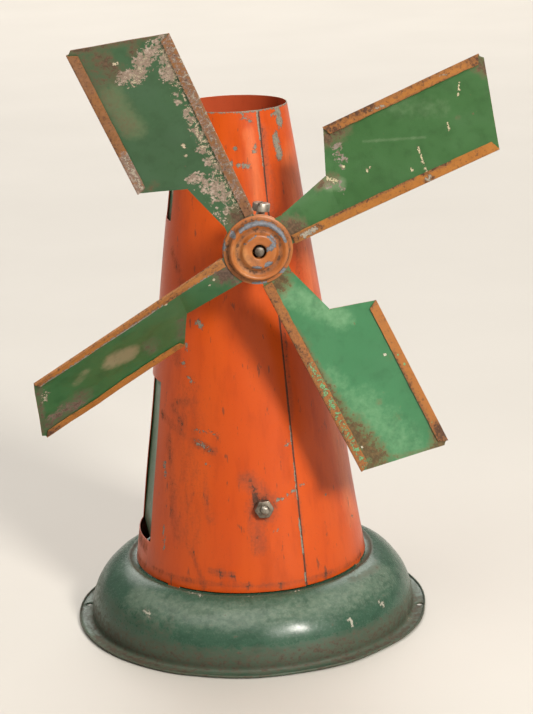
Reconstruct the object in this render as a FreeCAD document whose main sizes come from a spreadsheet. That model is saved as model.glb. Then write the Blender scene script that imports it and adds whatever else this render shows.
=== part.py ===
import FreeCAD, Part
import math
import os

import Sketcher
from FreeCAD import Placement, Rotation, Vector

# A pressed-tin table windmill: a domed base, a tapered tower rolled from one sheet, and a
# four-sailed rotor on a long axle that also carries a grooved drive wheel behind the tower.
# Origin: centre of the base flange's underside.  +Z is up, the rotor faces -Y.  Millimetres.

os.makedirs("parts", exist_ok=True)
doc = FreeCAD.newDocument("Windmill")

# --------------------------------------------------------------------------- driving sizes

SIZES = [
    # base
    ("flange_radius", 95.0),
    ("flange_width", 8.0),
    ("flange_lip", 1.6),
    ("base_sheet", 0.6),
    ("dome_height", 33.2),
    ("dome_arc_radius", 30.0),
    ("crest_margin", 4.4),
    ("seat_drop", 1.0),
    ("seat_bevel", 1.8),
    ("seat_width", 4.5),
    ("base_hole_lip", 5.0),
    ("fixing_pitch_circle", 182.0),
    ("fixing_hole", 3.6),
    ("fixing_turn", -14.0),
    # tower
    ("tower_sheet", 0.4),
    ("tower_foot_radius", 62.0),
    ("tower_top_radius", 28.4),
    ("tower_top_height", 276.5),
    ("tower_foot_gap", 0.8),
    ("seam_angle", 19.0),
    ("seam_lap", 6.0),
    ("foot_width", 7.0),
    ("foot_first_angle", -53.0),
    ("tongue_reach", 5.0),
    ("slot_clearance", 0.25),
    # doorway and window, both facing -X
    ("door_sill", 50.0),
    ("door_height", 86.0),
    ("door_half_width_low", 20.5),
    ("door_half_width_high", 15.5),
    ("window_sill", 219.0),
    ("window_height", 24.0),
    ("window_half_width", 9.0),
    ("panel_sheet", 0.4),
    ("panel_margin", 1.6),
    ("panel_gap", 0.1),
    # axle and its bearings
    ("axle_diameter", 4.76),
    ("axle_height", 216.2),
    ("axle_front", 80.2),
    ("axle_tail", 9.0),
    ("running_clearance", 0.05),
    ("bearing_diameter", 8.0),
    ("bearing_inside", 6.0),
    ("saddle_diameter", 13.0),
    ("saddle_sheet", 0.8),
    ("fit_clearance", 0.02),
    ("end_play", 0.25),
    ("washer_diameter", 9.0),
    ("washer_sheet", 0.6),
    # rotor
    ("rotor_plane", 74.2),
    ("sail_sheet", 0.45),
    ("spar_offset", 5.7),
    ("root_inner", 8.5),
    ("root_bend", 17.5),
    ("root_width", 15.3),
    ("spar_length", 125.7),
    ("sail_width", 45.4),
    ("tip_slant", 11.0),
    ("notch_reach", 44.1),
    ("notch_width", 23.4),
    ("inner_slant", 7.7),
    ("tip_clip", 2.5),
    ("hem_width", 4.3),
    ("hem_gap", 0.4),
    ("hub_radius", 17.0),
    ("hub_sheet", 0.5),
    ("hub_ridge_radius", 13.5),
    ("hub_ridge_rise", 4.4),
    ("hub_valley_radius", 10.2),
    ("hub_valley_rise", 3.0),
    ("hub_boss_radius", 7.6),
    ("hub_boss_rise", 5.8),
    ("hub_hole_radius", 3.4),
    ("back_plate_radius", 17.3),
    ("back_plate_sheet", 0.6),
    ("collar_diameter", 20.0),
    ("collar_length", 9.0),
    ("hub_screw_angle", 81.0),
    ("hub_screw_stand_off", 18.2),
    ("hub_screw_head", 8.6),
    ("hub_screw_head_height", 4.0),
    ("set_screw_diameter", 4.17),
    ("slot_width", 1.2),
    ("slot_depth", 1.6),
    # drive wheel behind the tower
    ("wheel_diameter", 26.0),
    ("wheel_rim_width", 6.0),
    ("wheel_groove_depth", 2.6),
    ("wheel_hub_diameter", 11.0),
    ("wheel_hub_length", 6.0),
    ("wheel_screw_head", 5.6),
    ("wheel_screw_head_height", 2.2),
    ("wheel_screw_stand_off", 7.0),
    # tie bolt through the tower
    ("tie_height", 77.0),
    ("tie_diameter", 4.17),
    ("tie_nut_flats", 8.73),
    ("tie_nut_height", 3.2),
    ("tie_end", 2.6),
    ("tie_head", 8.0),
    ("tie_head_height", 2.8),
    ("tie_tube_diameter", 6.4),
    ("tie_tube_wall", 0.8),
]

# name, direction, pitch and forward lean of each sail, in degrees
SAILS = [
    ("sail_upper_right", 25.0, -27.1, 14.4),
    ("sail_upper_left", 113.6, -10.5, 21.1),
    ("sail_lower_left", 208.3, -41.7, 7.7),
    ("sail_lower_right", 294.8, -5.0, 1.9),
]

sheet = doc.addObject("Spreadsheet::Sheet", "Sizes")


def write_sizes():
    """Fills the sheet, one size to a row, with its name as the cell's alias."""
    rows = list(SIZES)
    for name, direction, pitch, lean in SAILS:
        rows += [(name + "_direction", direction), (name + "_pitch", pitch), (name + "_lean", lean)]
    for row, (alias, value) in enumerate(rows, start=1):
        sheet.set(f"A{row}", alias)
        sheet.set(f"B{row}", str(value))
        sheet.setAlias(f"B{row}", alias)
    doc.recompute()


def size(alias):
    """The present value of one size."""
    return float(sheet.get(alias))


write_sizes()

# --------------------------------------------------------------------------- small makers

UP = Vector(0, 0, 1)
TO_FRONT = Rotation(Vector(1, 0, 0), 90)  # turns local +Z to the front, -Y
TO_BACK = Rotation(Vector(1, 0, 0), -90)  # turns local +Z to the back, +Y
nodes = []


def bound(thing, **expressions):
    """Binds properties of an object to expressions on the sheet."""
    for prop, expression in expressions.items():
        thing.setExpression(prop, expression)
    return thing


def node(thing, label):
    """Marks a finished sub-part: its label is its name in the assembly."""
    thing.Label = label
    nodes.append(thing)
    return thing


def cylinder(name, radius, height, placement=Placement()):
    """A cylinder whose radius and height are expressions."""
    made = doc.addObject("Part::Cylinder", name)
    made.Placement = placement
    return bound(made, Radius=radius, Height=height)


def box(name, length, width, height, placement=Placement()):
    """A box whose sides are expressions."""
    made = doc.addObject("Part::Box", name)
    made.Placement = placement
    return bound(made, Length=length, Width=width, Height=height)


def cone(name, lower_radius, upper_radius, height, placement=Placement()):
    """A frustum whose radii and height are expressions."""
    made = doc.addObject("Part::Cone", name)
    made.Placement = placement
    return bound(made, Radius1=lower_radius, Radius2=upper_radius, Height=height)


def cut(name, base, *tools):
    """The base with every tool taken away in turn."""
    for count, tool in enumerate(tools):
        made = doc.addObject("Part::Cut", f"{name}_cut_{count}")
        made.Base = base
        made.Tool = tool
        base = made
    return base


def fuse(name, *shapes):
    """Several solids as one."""
    made = doc.addObject("Part::MultiFuse", name)
    made.Shapes = list(shapes)
    made.Refine = True
    return made


def common(name, *shapes):
    """What several solids share."""
    made = doc.addObject("Part::MultiCommon", name)
    made.Shapes = list(shapes)
    return made


def new_body(label):
    """An empty body that will be one sub-part."""
    return node(doc.addObject("PartDesign::Body", label), label)


def new_sketch(body, name, role, offset=Placement()):
    """A sketch on one of the body's own origin planes, moved by offset within that plane's frame."""
    made = body.newObject("Sketcher::SketchObject", name)
    plane = [f for f in body.Origin.OriginFeatures if f.Role == role][0]
    made.AttachmentSupport = [(plane, "")]
    made.MapMode = "FlatFace"
    made.AttachmentOffset = offset
    return made


def pin(sketch, geometry, end, x, y):
    """Holds one point of a sketch at expressions x and y from the sketch's origin."""
    for kind, value in (("DistanceX", x), ("DistanceY", y)):
        index = sketch.addConstraint(Sketcher.Constraint(kind, -1, 1, geometry, end, evaluate(value)))
        sketch.setExpression(f"Constraints[{index}]", value)


def evaluate(expression):
    """The present value of an expression on the sheet."""
    result = sheet.evalExpression(expression)
    return float(getattr(result, "Value", result))


def outline(sketch, corners, arcs=None):
    """A closed outline through corners, each a pair of expressions.  arcs maps the index of a
    side to the expression of its radius, with a minus sign where its centre lies to the right."""
    points = [Vector(evaluate(x), evaluate(y), 0) for x, y in corners]
    count = len(points)
    first = sketch.GeometryCount
    ends = []
    for side in range(count):
        start = points[side]
        finish = points[(side + 1) % count]
        if arcs and side in arcs:
            geometry, order = arc_between(start, finish, evaluate(arcs[side]))
        else:
            geometry, order = Part.LineSegment(start, finish), (1, 2)
        sketch.addGeometry(geometry, False)
        ends.append(order)
    for side in range(count):
        follower = (side + 1) % count
        sketch.addConstraint(Sketcher.Constraint(
            "Coincident", first + side, ends[side][1], first + follower, ends[follower][0]))
        pin(sketch, first + side, ends[side][1], *corners[follower])
        if arcs and side in arcs:
            radius = arcs[side].lstrip("-")
            index = sketch.addConstraint(
                Sketcher.Constraint("Radius", first + side, evaluate(radius)))
            sketch.setExpression(f"Constraints[{index}]", radius)


def arc_between(start, finish, radius):
    """An arc from start to finish and the sketch's numbers for its two ends.  Arcs run
    anticlockwise, so one whose centre is to the right (a negative radius) is drawn backwards."""
    half = (finish - start) * 0.5
    left = Vector(-half.y, half.x, 0).normalize()
    side = math.copysign(1, radius)
    centre = start + half + left * side * math.sqrt(radius ** 2 - half.Length ** 2)
    begin, end, order = (start, finish, (1, 2)) if radius > 0 else (finish, start, (2, 1))
    angles = [math.atan2(point.y - centre.y, point.x - centre.x) for point in (begin, end)]
    if angles[1] < angles[0]:
        angles[1] += 2 * math.pi
    return Part.ArcOfCircle(Part.Circle(centre, UP, abs(radius)), *angles), order


def pad(body, name, sketch, length):
    """Adds material on a sketch, along its normal."""
    made = body.newObject("PartDesign::Pad", name)
    made.Profile = sketch
    made.setExpression("Length", length)
    return made


def revolve(body, name, sketch, axis="V_Axis"):
    """Turns a sketch a full circle about one of its own axes."""
    made = body.newObject("PartDesign::Revolution", name)
    made.Profile = sketch
    made.ReferenceAxis = (sketch, [axis])
    made.Angle = 360
    return made


def pocket(body, name, sketch, length):
    """Takes material away against the sketch's normal reversed, that is upwards from its plane."""
    made = body.newObject("PartDesign::Pocket", name)
    made.Profile = sketch
    made.Reversed = True
    made.setExpression("Length", length)
    return made


def slotted_screw(label, head_diameter, head_height, shank_diameter, shank_length, place, slot_turn=0):
    """A slotted cheese-head screw.  Local origin at the shank's end, head away from it on +Z."""
    shank = cylinder(label + "_shank", f"{shank_diameter} / 2", shank_length)
    head = cylinder(label + "_head", f"{head_diameter} / 2", head_height)
    head.setExpression("Placement.Base.z", shank_length)
    slot = box(label + "_slot", f"{head_diameter} * 2", "Sizes.slot_width", "Sizes.slot_depth * 2")
    turn = Rotation(UP, slot_turn)
    slot.Placement = Placement(turn.multVec(Vector(-evaluate(head_diameter), -size("slot_width") / 2, 0)), turn)
    slot.setExpression("Placement.Base.z", f"{shank_length} + {head_height} - Sizes.slot_depth")
    screw = cut(label, fuse(label + "_blank", shank, head), slot)
    screw.Placement = place
    return node(screw, label)


# --------------------------------------------------------------------------- tower geometry

SEAT = "(Sizes.dome_height - Sizes.seat_drop)"
CREST = "(Sizes.tower_foot_radius + Sizes.crest_margin)"
BASE_HOLE = "(Sizes.tower_foot_radius - Sizes.seat_width)"
SLOPE = ("((Sizes.tower_foot_radius - Sizes.tower_top_radius)"
         f" / (Sizes.tower_top_height - {SEAT}))")


def wall_radius(height, inset="0"):
    """The tower's outer radius at a height, less an inset, as an expression."""
    return f"(Sizes.tower_foot_radius - ({height} - {SEAT}) * {SLOPE} - ({inset}))"


def tower_cone(name, low, high, inset="0"):
    """A solid frustum of the tower's taper between two heights."""
    made = cone(name, wall_radius(low, inset), wall_radius(high, inset), f"{high} - ({low})")
    made.setExpression("Placement.Base.z", low)
    return made


def tower_wall(name, low, high, outer="0", inner="Sizes.tower_sheet"):
    """A slice of the tower's sheet between two heights."""
    return cut(name, tower_cone(name + "_outer", low, high, outer),
               tower_cone(name + "_inner", f"{low} - 1", f"{high} + 1", inner))


def rise(name, height, thing):
    """Sets a primitive at a height given as an expression."""
    thing.setExpression("Placement.Base.z", height)
    return thing


FOOT_ANGLES = [size("foot_first_angle") + step * 120 for step in range(3)]

# --------------------------------------------------------------------------- base


def make_base():
    """Domed pan pressed from one disc: flange with an upturned lip, dome, sunk seat for the tower
    and a turned-down hole in the middle, with two screw holes and three slots for tower tongues."""
    body = new_body("base_shell")
    profile = new_sketch(body, "base_profile", "XZ_Plane")
    steel = "Sizes.base_sheet"
    foot = "(Sizes.flange_radius - Sizes.flange_width)"
    outline(profile, [
        ("Sizes.flange_radius", "0"),
        ("Sizes.flange_radius", "Sizes.flange_lip"),
        (f"Sizes.flange_radius - {steel}", "Sizes.flange_lip"),
        (f"Sizes.flange_radius - {steel}", steel),
        (foot, steel),
        (CREST, "Sizes.dome_height"),
        (f"{CREST} - Sizes.seat_bevel", SEAT),
        (BASE_HOLE, SEAT),
        (BASE_HOLE, f"{SEAT} - Sizes.base_hole_lip"),
        (f"{BASE_HOLE} + {steel}", f"{SEAT} - Sizes.base_hole_lip"),
        (f"{BASE_HOLE} + {steel}", f"{SEAT} - {steel}"),
        (f"{CREST} - Sizes.seat_bevel", f"{SEAT} - {steel}"),
        (CREST, f"Sizes.dome_height - {steel}"),
        (f"{foot} - {steel}", "0"),
    ], arcs={4: "Sizes.dome_arc_radius", 12: f"-(Sizes.dome_arc_radius - {steel})"})
    revolve(body, "base_pan", profile)
    for side in range(2):
        turn = Rotation(UP, size("fixing_turn") + 180 * side)
        sketch = new_sketch(body, f"fixing_hole_{side}", "XY_Plane", Placement(Vector(), turn))
        circle = sketch.addGeometry(Part.Circle(Vector(evaluate("Sizes.fixing_pitch_circle / 2"), 0, 0),
                                                UP, size("fixing_hole") / 2), False)
        pin(sketch, circle, 3, "Sizes.fixing_pitch_circle / 2", "0")
        index = sketch.addConstraint(Sketcher.Constraint("Diameter", circle, size("fixing_hole")))
        sketch.setExpression(f"Constraints[{index}]", "Sizes.fixing_hole")
        pocket(body, f"fixing_cut_{side}", sketch, "Sizes.base_sheet * 2")
    for count, angle in enumerate(FOOT_ANGLES):
        turn = Rotation(UP, angle - 90)
        low = Vector(0, -size("foot_width") / 2 - size("slot_clearance"), evaluate(f"{SEAT} - 2"))
        sketch = new_sketch(body, f"slot_{count}", "XY_Plane", Placement(turn.multVec(low), turn))
        inner = "Sizes.tower_foot_radius - Sizes.tower_sheet - Sizes.slot_clearance"
        outer = "Sizes.tower_foot_radius + Sizes.slot_clearance"
        across = "Sizes.foot_width + 2 * Sizes.slot_clearance"
        outline(sketch, [(inner, "0"), (outer, "0"), (outer, across), (inner, across)])
        pocket(body, f"slot_cut_{count}", sketch, "4")
    return body


# --------------------------------------------------------------------------- tower


def side_cutter(name, sill, height, low_half, high_half):
    """A tapering prism that opens the tower's -X side above a sill."""
    made = doc.addObject("Part::Wedge", name)
    bound(made, Xmin=f"-{low_half}", Xmax=low_half, X2min=f"-{high_half}", X2max=high_half,
          Ymin="0", Ymax=height, Zmin="0", Zmax="Sizes.tower_foot_radius",
          Z2min="0", Z2max="Sizes.tower_foot_radius")
    made.Placement = Placement(Vector(), Rotation(Vector(1, 1, 1), 120))
    made.setExpression("Placement.Base.x", "-Sizes.tower_foot_radius - 1")
    made.setExpression("Placement.Base.z", sill)
    return made


def cross_hole(name, height, radius):
    """A round bar along Y right through the tower at a height."""
    reach = "(Sizes.rotor_plane + 5)"
    bar = cylinder(name, radius, f"2 * {reach}", Placement(Vector(), TO_FRONT))
    bar.setExpression("Placement.Base.y", reach)
    return rise(name, height, bar)


def make_tower():
    """Tapered tube rolled from one sheet, lapped down its front-right side, open at the top, with
    a doorway, a window, bearing and bolt holes, and three tongued feet bent under the base."""
    foot = f"{SEAT} + Sizes.tower_foot_gap"
    top = "Sizes.tower_top_height"
    wall = tower_wall("tower_tube", foot, top)
    lap = tower_wall("tower_lap", foot, top, "-Sizes.tower_sheet", "Sizes.tower_sheet / 2")
    turn = Rotation(UP, size("seam_angle"))
    strip = box("lap_strip", "Sizes.seam_lap", "Sizes.tower_foot_radius + 5", f"{top} + 5")
    corner = Vector(-size("seam_lap"), -size("tower_foot_radius") - 5, 0)
    strip.Placement = Placement(turn.multVec(corner), turn)
    pieces = [wall, common("seam_strip", lap, strip)]
    for count, angle in enumerate(FOOT_ANGLES):
        pieces += make_foot(count, angle)
    blank = fuse("tower_blank", *pieces)
    tower = cut(
        "tower", blank,
        side_cutter("doorway", "Sizes.door_sill", "Sizes.door_height",
                    "Sizes.door_half_width_low", "Sizes.door_half_width_high"),
        side_cutter("window", "Sizes.window_sill", "Sizes.window_height",
                    "Sizes.window_half_width", "Sizes.window_half_width"),
        cross_hole("bearing_holes", "Sizes.axle_height",
                   "Sizes.bearing_diameter / 2 + Sizes.fit_clearance"),
        cross_hole("bolt_holes", "Sizes.tie_height", "Sizes.tie_diameter / 2 + Sizes.slot_clearance"))
    return node(tower, "tower_shell")


def make_foot(count, angle):
    """One foot: the sheet carried down through the base's seat, and its tongue bent inwards."""
    under = f"({SEAT} - Sizes.base_sheet - Sizes.slot_clearance - Sizes.tower_sheet)"
    turn = Rotation(UP, angle)
    half = size("foot_width") / 2
    ring = tower_wall(f"foot_ring_{count}", under, f"{SEAT} + Sizes.tower_foot_gap + 1")
    strip = box(f"foot_strip_{count}", "Sizes.foot_width", "Sizes.tower_foot_radius + 5",
                "Sizes.dome_height + 5")
    strip.Placement = Placement(turn.multVec(Vector(-half, -size("tower_foot_radius") - 5, 0)), turn)
    tongue = box(f"tongue_{count}", "Sizes.foot_width", "Sizes.tongue_reach", "Sizes.tower_sheet")
    edge = size("tower_foot_radius") - size("tower_sheet") / 2
    tongue.Placement = Placement(turn.multVec(Vector(-half, -edge, 0)), turn)
    rise("tongue", under, tongue)
    return [common(f"foot_{count}", ring, strip), tongue]


def make_panel(label, sill, height, low_half, high_half):
    """Flat painted sheet set behind an opening: wider than it by a margin on every side, with its
    four corners against the inside of the tower."""
    body = new_body(label)
    margin = "Sizes.panel_margin"
    low_wide = f"({low_half} + {margin})"
    high_wide = f"({high_half} + {margin})"
    low_height = f"({sill} - {margin})"
    high_height = f"({sill} + {height} + {margin})"
    inset = "Sizes.tower_sheet + Sizes.panel_gap"
    low_depth = math.sqrt(evaluate(wall_radius(low_height, inset)) ** 2 - evaluate(low_wide) ** 2)
    high_depth = math.sqrt(evaluate(wall_radius(high_height, inset)) ** 2 - evaluate(high_wide) ** 2)
    tall = evaluate(f"{high_height} - {low_height}")
    lean = math.atan2(low_depth - high_depth, tall)
    sketch = new_sketch(body, label + "_outline", "XY_Plane")
    widest = low_wide if evaluate(low_wide) >= evaluate(high_wide) else high_wide
    long_side = f"({high_height} - {low_height}) / {math.cos(lean)}"
    outline(sketch, [(f"{widest} - {low_wide}", "0"), (f"{widest} + {low_wide}", "0"),
                     (f"{widest} + {high_wide}", long_side), (f"{widest} - {high_wide}", long_side)])
    pad(body, label + "_sheet", sketch, "Sizes.panel_sheet")
    stand = Placement(Vector(), Rotation(Vector(1, 1, 1), 120))
    tilt = Placement(Vector(-low_depth, -evaluate(widest), evaluate(low_height)),
                     Rotation(Vector(0, 1, 0), math.degrees(lean)))
    body.Placement = tilt.multiply(stand)
    return body


# --------------------------------------------------------------------------- bearings, tie bolt


def bearing(label, facing, sign, nose):
    """Plain tube with a small saddle bent to the tower's curve, soldered into the wall.  facing
    turns +Z outwards, and nose is how far from the tower's axis its outer end stands."""
    reach = f"({nose} - ({wall_radius('Sizes.axle_height')} - Sizes.bearing_inside))"
    tube = cylinder(label + "_tube", "Sizes.bearing_diameter / 2", reach, Placement(Vector(), facing))
    tube.setExpression("Placement.Base.y",
                       f"{sign} * ({wall_radius('Sizes.axle_height')} - Sizes.bearing_inside)")
    rise(label, "Sizes.axle_height", tube)
    low = "(Sizes.axle_height - Sizes.saddle_diameter)"
    high = "(Sizes.axle_height + Sizes.saddle_diameter)"
    skin = tower_wall(label + "_skin", low, high, "-Sizes.saddle_sheet", "0")
    punch = cylinder(label + "_punch", "Sizes.saddle_diameter / 2", "Sizes.tower_foot_radius",
                     Placement(Vector(), facing))
    rise(label, "Sizes.axle_height", punch)
    saddle = common(label + "_saddle", skin, punch)
    bore = cross_hole(label + "_bore", "Sizes.axle_height",
                      "Sizes.axle_diameter / 2 + Sizes.running_clearance")
    return node(cut(label, fuse(label + "_blank", tube, saddle), bore), label)


def make_tie():
    """Long slotted screw through the tower's foot, with a spacer tube between the walls and a
    hexagon nut on its front end."""
    at_wall = f"({wall_radius('Sizes.tie_height')} + Sizes.tie_nut_flats * 0.62 * {SLOPE})"
    front = f"({at_wall} + Sizes.tie_nut_height + Sizes.tie_end)"
    place = Placement(Vector(0, -evaluate(front), size("tie_height")), TO_BACK)
    slotted_screw("tie_bolt", "Sizes.tie_head", "Sizes.tie_head_height", "Sizes.tie_diameter",
                  f"({front} + {at_wall})", place, slot_turn=35)
    hexagon = doc.addObject("Part::Prism", "nut_hexagon")
    hexagon.Polygon = 6
    bound(hexagon, Circumradius="Sizes.tie_nut_flats / sqrt(3)", Height="Sizes.tie_nut_height")
    hexagon.Placement = Placement(Vector(), Rotation(UP, 30))
    rounding = doc.addObject("Part::Sphere", "nut_rounding")
    bound(rounding, Radius="sqrt((Sizes.tie_nut_flats / 2)^2 + (Sizes.tie_nut_height * 0.95)^2) * 1.03")
    thread = cylinder("nut_thread", "Sizes.tie_diameter / 2 + Sizes.fit_clearance",
                      "Sizes.tie_nut_height")
    nut = cut("nut", common("nut_blank", hexagon, rounding), thread)
    nut.Placement = Placement(Vector(0, -evaluate(at_wall), size("tie_height")), TO_FRONT)
    node(nut, "tie_nut")
    half = (f"({wall_radius('Sizes.tie_height', 'Sizes.tower_sheet')}"
            f" - Sizes.tie_tube_diameter / 2 * {SLOPE} - Sizes.panel_gap)")
    start = Placement(Vector(0, evaluate(half), size("tie_height")), TO_FRONT)
    skin = cylinder("tube_skin", "Sizes.tie_tube_diameter / 2", f"2 * {half}", start)
    inside = cylinder("tube_inside", "Sizes.tie_tube_diameter / 2 - Sizes.tie_tube_wall",
                      f"2 * {half}", start)
    node(cut("tube", skin, inside), "tie_spacer_tube")


# --------------------------------------------------------------------------- rotor


def on_axle(distance_in_front, rotation=TO_FRONT):
    """The place on the rotor's axis at a distance in front of the tower's centre line."""
    return Placement(Vector(0, -distance_in_front, size("axle_height")), rotation)


REAR_NOSE = (f"({wall_radius('Sizes.axle_height')} + Sizes.saddle_sheet"
             f" + Sizes.saddle_diameter / 2 * {SLOPE})")
REAR_FACE = f"({REAR_NOSE} + Sizes.end_play)"
WHEEL_FACE = f"({REAR_FACE} + Sizes.washer_sheet + Sizes.end_play)"
BACK_OF_SAILS = "(Sizes.rotor_plane - Sizes.sail_sheet / 2)"
COLLAR_FRONT = f"({BACK_OF_SAILS} - Sizes.back_plate_sheet)"
COLLAR_BACK = f"({COLLAR_FRONT} - Sizes.collar_length)"
BEARING_NOSE = f"({COLLAR_BACK} - 2 * Sizes.end_play - Sizes.washer_sheet)"


def turned(name, corners):
    """A turned piece: a closed outline of radius and height spun about local Z."""
    body = new_body(name)
    sketch = new_sketch(body, name + "_profile", "XZ_Plane")
    outline(sketch, corners)
    revolve(body, name + "_turning", sketch)
    return body


def make_axle():
    """Plain steel rod from the middle of the hub's face to just behind the drive wheel."""
    tail = f"({WHEEL_FACE} + Sizes.wheel_rim_width + Sizes.wheel_hub_length + Sizes.axle_tail)"
    rod = cylinder("axle_rod", "Sizes.axle_diameter / 2", f"Sizes.axle_front + {tail}")
    rod.Placement = on_axle(-evaluate(tail))
    node(rod, "axle")


def make_washer(label, distance_in_front):
    """Thin ring washer that runs loose on the axle."""
    ring = cylinder(label + "_disc", "Sizes.washer_diameter / 2", "Sizes.washer_sheet")
    hole = cylinder(label + "_hole", "Sizes.axle_diameter / 2 + Sizes.running_clearance",
                    "Sizes.washer_sheet")
    washer = cut(label, ring, hole)
    washer.Placement = on_axle(distance_in_front)
    node(washer, label)


def make_hub():
    """Pressed face disc with a raised ring and boss, a flat plate behind the sails' roots, and a
    turned collar that a slotted screw locks to the axle."""
    steel = "Sizes.hub_sheet"
    upper = [
        ("Sizes.hub_hole_radius", "Sizes.hub_boss_rise"),
        ("Sizes.hub_boss_radius", "Sizes.hub_boss_rise"),
        ("Sizes.hub_boss_radius + 0.9", "Sizes.hub_valley_rise"),
        ("Sizes.hub_valley_radius", "Sizes.hub_valley_rise"),
        ("Sizes.hub_ridge_radius - 0.8", "Sizes.hub_ridge_rise"),
        ("Sizes.hub_ridge_radius + 0.8", "Sizes.hub_ridge_rise"),
        ("Sizes.hub_radius - 1.6", f"{steel}"),
        ("Sizes.hub_radius", f"{steel}"),
    ]
    lower = [(radius, f"{height} - {steel}") for radius, height in upper]
    face = turned("hub_face_disc", upper + lower[::-1])
    face.Placement = on_axle(evaluate("Sizes.rotor_plane + Sizes.sail_sheet / 2"))
    plate = cylinder("plate_disc", "Sizes.back_plate_radius", "Sizes.back_plate_sheet")
    hole = cylinder("plate_hole", "Sizes.axle_diameter / 2 + Sizes.fit_clearance",
                    "Sizes.back_plate_sheet")
    back = cut("plate", plate, hole)
    back.Placement = on_axle(evaluate(COLLAR_FRONT))
    node(back, "hub_back_plate")
    barrel = cylinder("collar_barrel", "Sizes.collar_diameter / 2", "Sizes.collar_length")
    bore = cylinder("collar_bore", "Sizes.axle_diameter / 2 + Sizes.fit_clearance",
                    "Sizes.collar_length")
    aim = Placement(Vector(), Rotation(UP, size("hub_screw_angle") - 90)
                    .multiply(Rotation(Vector(1, 0, 0), -90)))
    tapped = cylinder("collar_tapped", "Sizes.set_screw_diameter / 2 + Sizes.fit_clearance",
                      "Sizes.collar_diameter", aim)
    tapped.setExpression("Placement.Base.z", "Sizes.collar_length / 2")
    collar = cut("collar", barrel, bore, tapped)
    collar.Placement = on_axle(evaluate(COLLAR_BACK))
    node(collar, "hub_collar")
    place = on_axle(evaluate(f"{COLLAR_BACK} + Sizes.collar_length / 2")).multiply(
        aim).multiply(Placement(Vector(0, 0, evaluate("Sizes.axle_diameter / 2")), Rotation()))
    slotted_screw("hub_set_screw", "Sizes.hub_screw_head", "Sizes.hub_screw_head_height",
                  "Sizes.set_screw_diameter", "(Sizes.hub_screw_stand_off - Sizes.axle_diameter / 2)",
                  place, slot_turn=62)


def make_sail(label):
    """One sail cut from sheet: a root held flat in the hub, a neck that twists to the sail's
    pitch, and a swept blade whose leading and trailing edges are folded over to the front."""
    body = new_body(label)
    steel = "Sizes.sail_sheet"
    start = "(Sizes.notch_reach - Sizes.root_bend)"
    tip = "(Sizes.spar_length - Sizes.root_bend)"
    far_tip = f"({tip} + Sizes.tip_slant)"
    far_start = f"({start} + Sizes.inner_slant)"
    wide = "Sizes.sail_width"
    clip = "Sizes.tip_clip"
    blank = new_sketch(body, label + "_blank", "XY_Plane")
    outline(blank, [(start, "0"), (tip, "0"), (f"{far_tip} - {clip} / 3", f"{wide} - {clip}"),
                    (f"{far_tip} - {clip}", wide), (far_start, wide), (start, "Sizes.notch_width")])
    pad(body, label + "_blade", blank, steel)
    stack = f"(2 * {steel} + Sizes.hem_gap)"
    folds = new_sketch(body, label + "_folds", "XY_Plane")
    outline(folds, [("0", "0"), (tip, "0"), (tip, steel), ("0", steel)])
    outline(folds, [(far_start, f"{wide} - {steel}"), (f"{far_tip} - {clip}", f"{wide} - {steel}"),
                    (f"{far_tip} - {clip}", wide), (far_start, wide)])
    pad(body, label + "_fold", folds, stack)
    lift = Placement(Vector(0, 0, evaluate(f"{steel} + Sizes.hem_gap")), Rotation())
    hems = new_sketch(body, label + "_hems", "XY_Plane", lift)
    hems.setExpression("AttachmentOffset.Base.z", f"{steel} + Sizes.hem_gap")
    hem = "Sizes.hem_width"
    outline(hems, [("0", "0"), (tip, "0"), (f"{tip} - {hem} / 2", hem), ("0", hem)])
    outline(hems, [(far_start, wide), (f"{far_start} + {hem} / 2", f"{wide} - {hem}"),
                   (f"{far_tip} - {hem}", f"{wide} - {hem}"), (f"{far_tip} - {clip}", wide)])
    pad(body, label + "_hem", hems, steel)
    lean = Rotation(Vector(0, -1, 0), size(label + "_lean"))
    pitch = Rotation(Vector(1, 0, 0), size(label + "_pitch"))
    blade_turn = lean.multiply(pitch)
    to_root = Placement(Vector(), blade_turn.inverted())
    to_side = Rotation(Vector(1, 1, 1), 120)
    side_turn = to_side.inverted().multiply(blade_turn.inverted()).multiply(to_side)
    root_end = new_sketch(body, label + "_root_end", "YZ_Plane", Placement(Vector(), side_turn))
    outline(root_end, [("0", "0"), ("Sizes.root_width", "0"), ("Sizes.root_width", steel),
                       ("0", steel)])
    neck_end = new_sketch(body, label + "_neck_end", "YZ_Plane")
    neck_end.setExpression("AttachmentOffset.Base.z", start)
    outline(neck_end, [("0", "0"), ("Sizes.notch_width", "0"), ("Sizes.notch_width", steel),
                       ("0", steel)])
    neck = body.newObject("PartDesign::AdditiveLoft", label + "_neck")
    neck.Profile = root_end
    neck.Sections = [neck_end]
    neck.Ruled = True
    root_length = size("root_bend") - size("root_inner")
    shift = Placement(Vector(-root_length, 0, 0), Rotation())
    root = new_sketch(body, label + "_root", "XY_Plane", to_root.multiply(shift))
    long = "(Sizes.root_bend - Sizes.root_inner)"
    outline(root, [("0", "0"), (long, "0"), (long, "Sizes.root_width"), ("0", "Sizes.root_width")])
    pad(body, label + "_root_tab", root, steel)
    radial = Placement(Vector(), Rotation(UP, size(label + "_direction")))
    edge = Placement(Vector(size("root_bend"), -size("spar_offset"), -size("sail_sheet") / 2),
                     blade_turn)
    body.Placement = on_axle(size("rotor_plane")).multiply(radial).multiply(edge)
    return body


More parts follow.
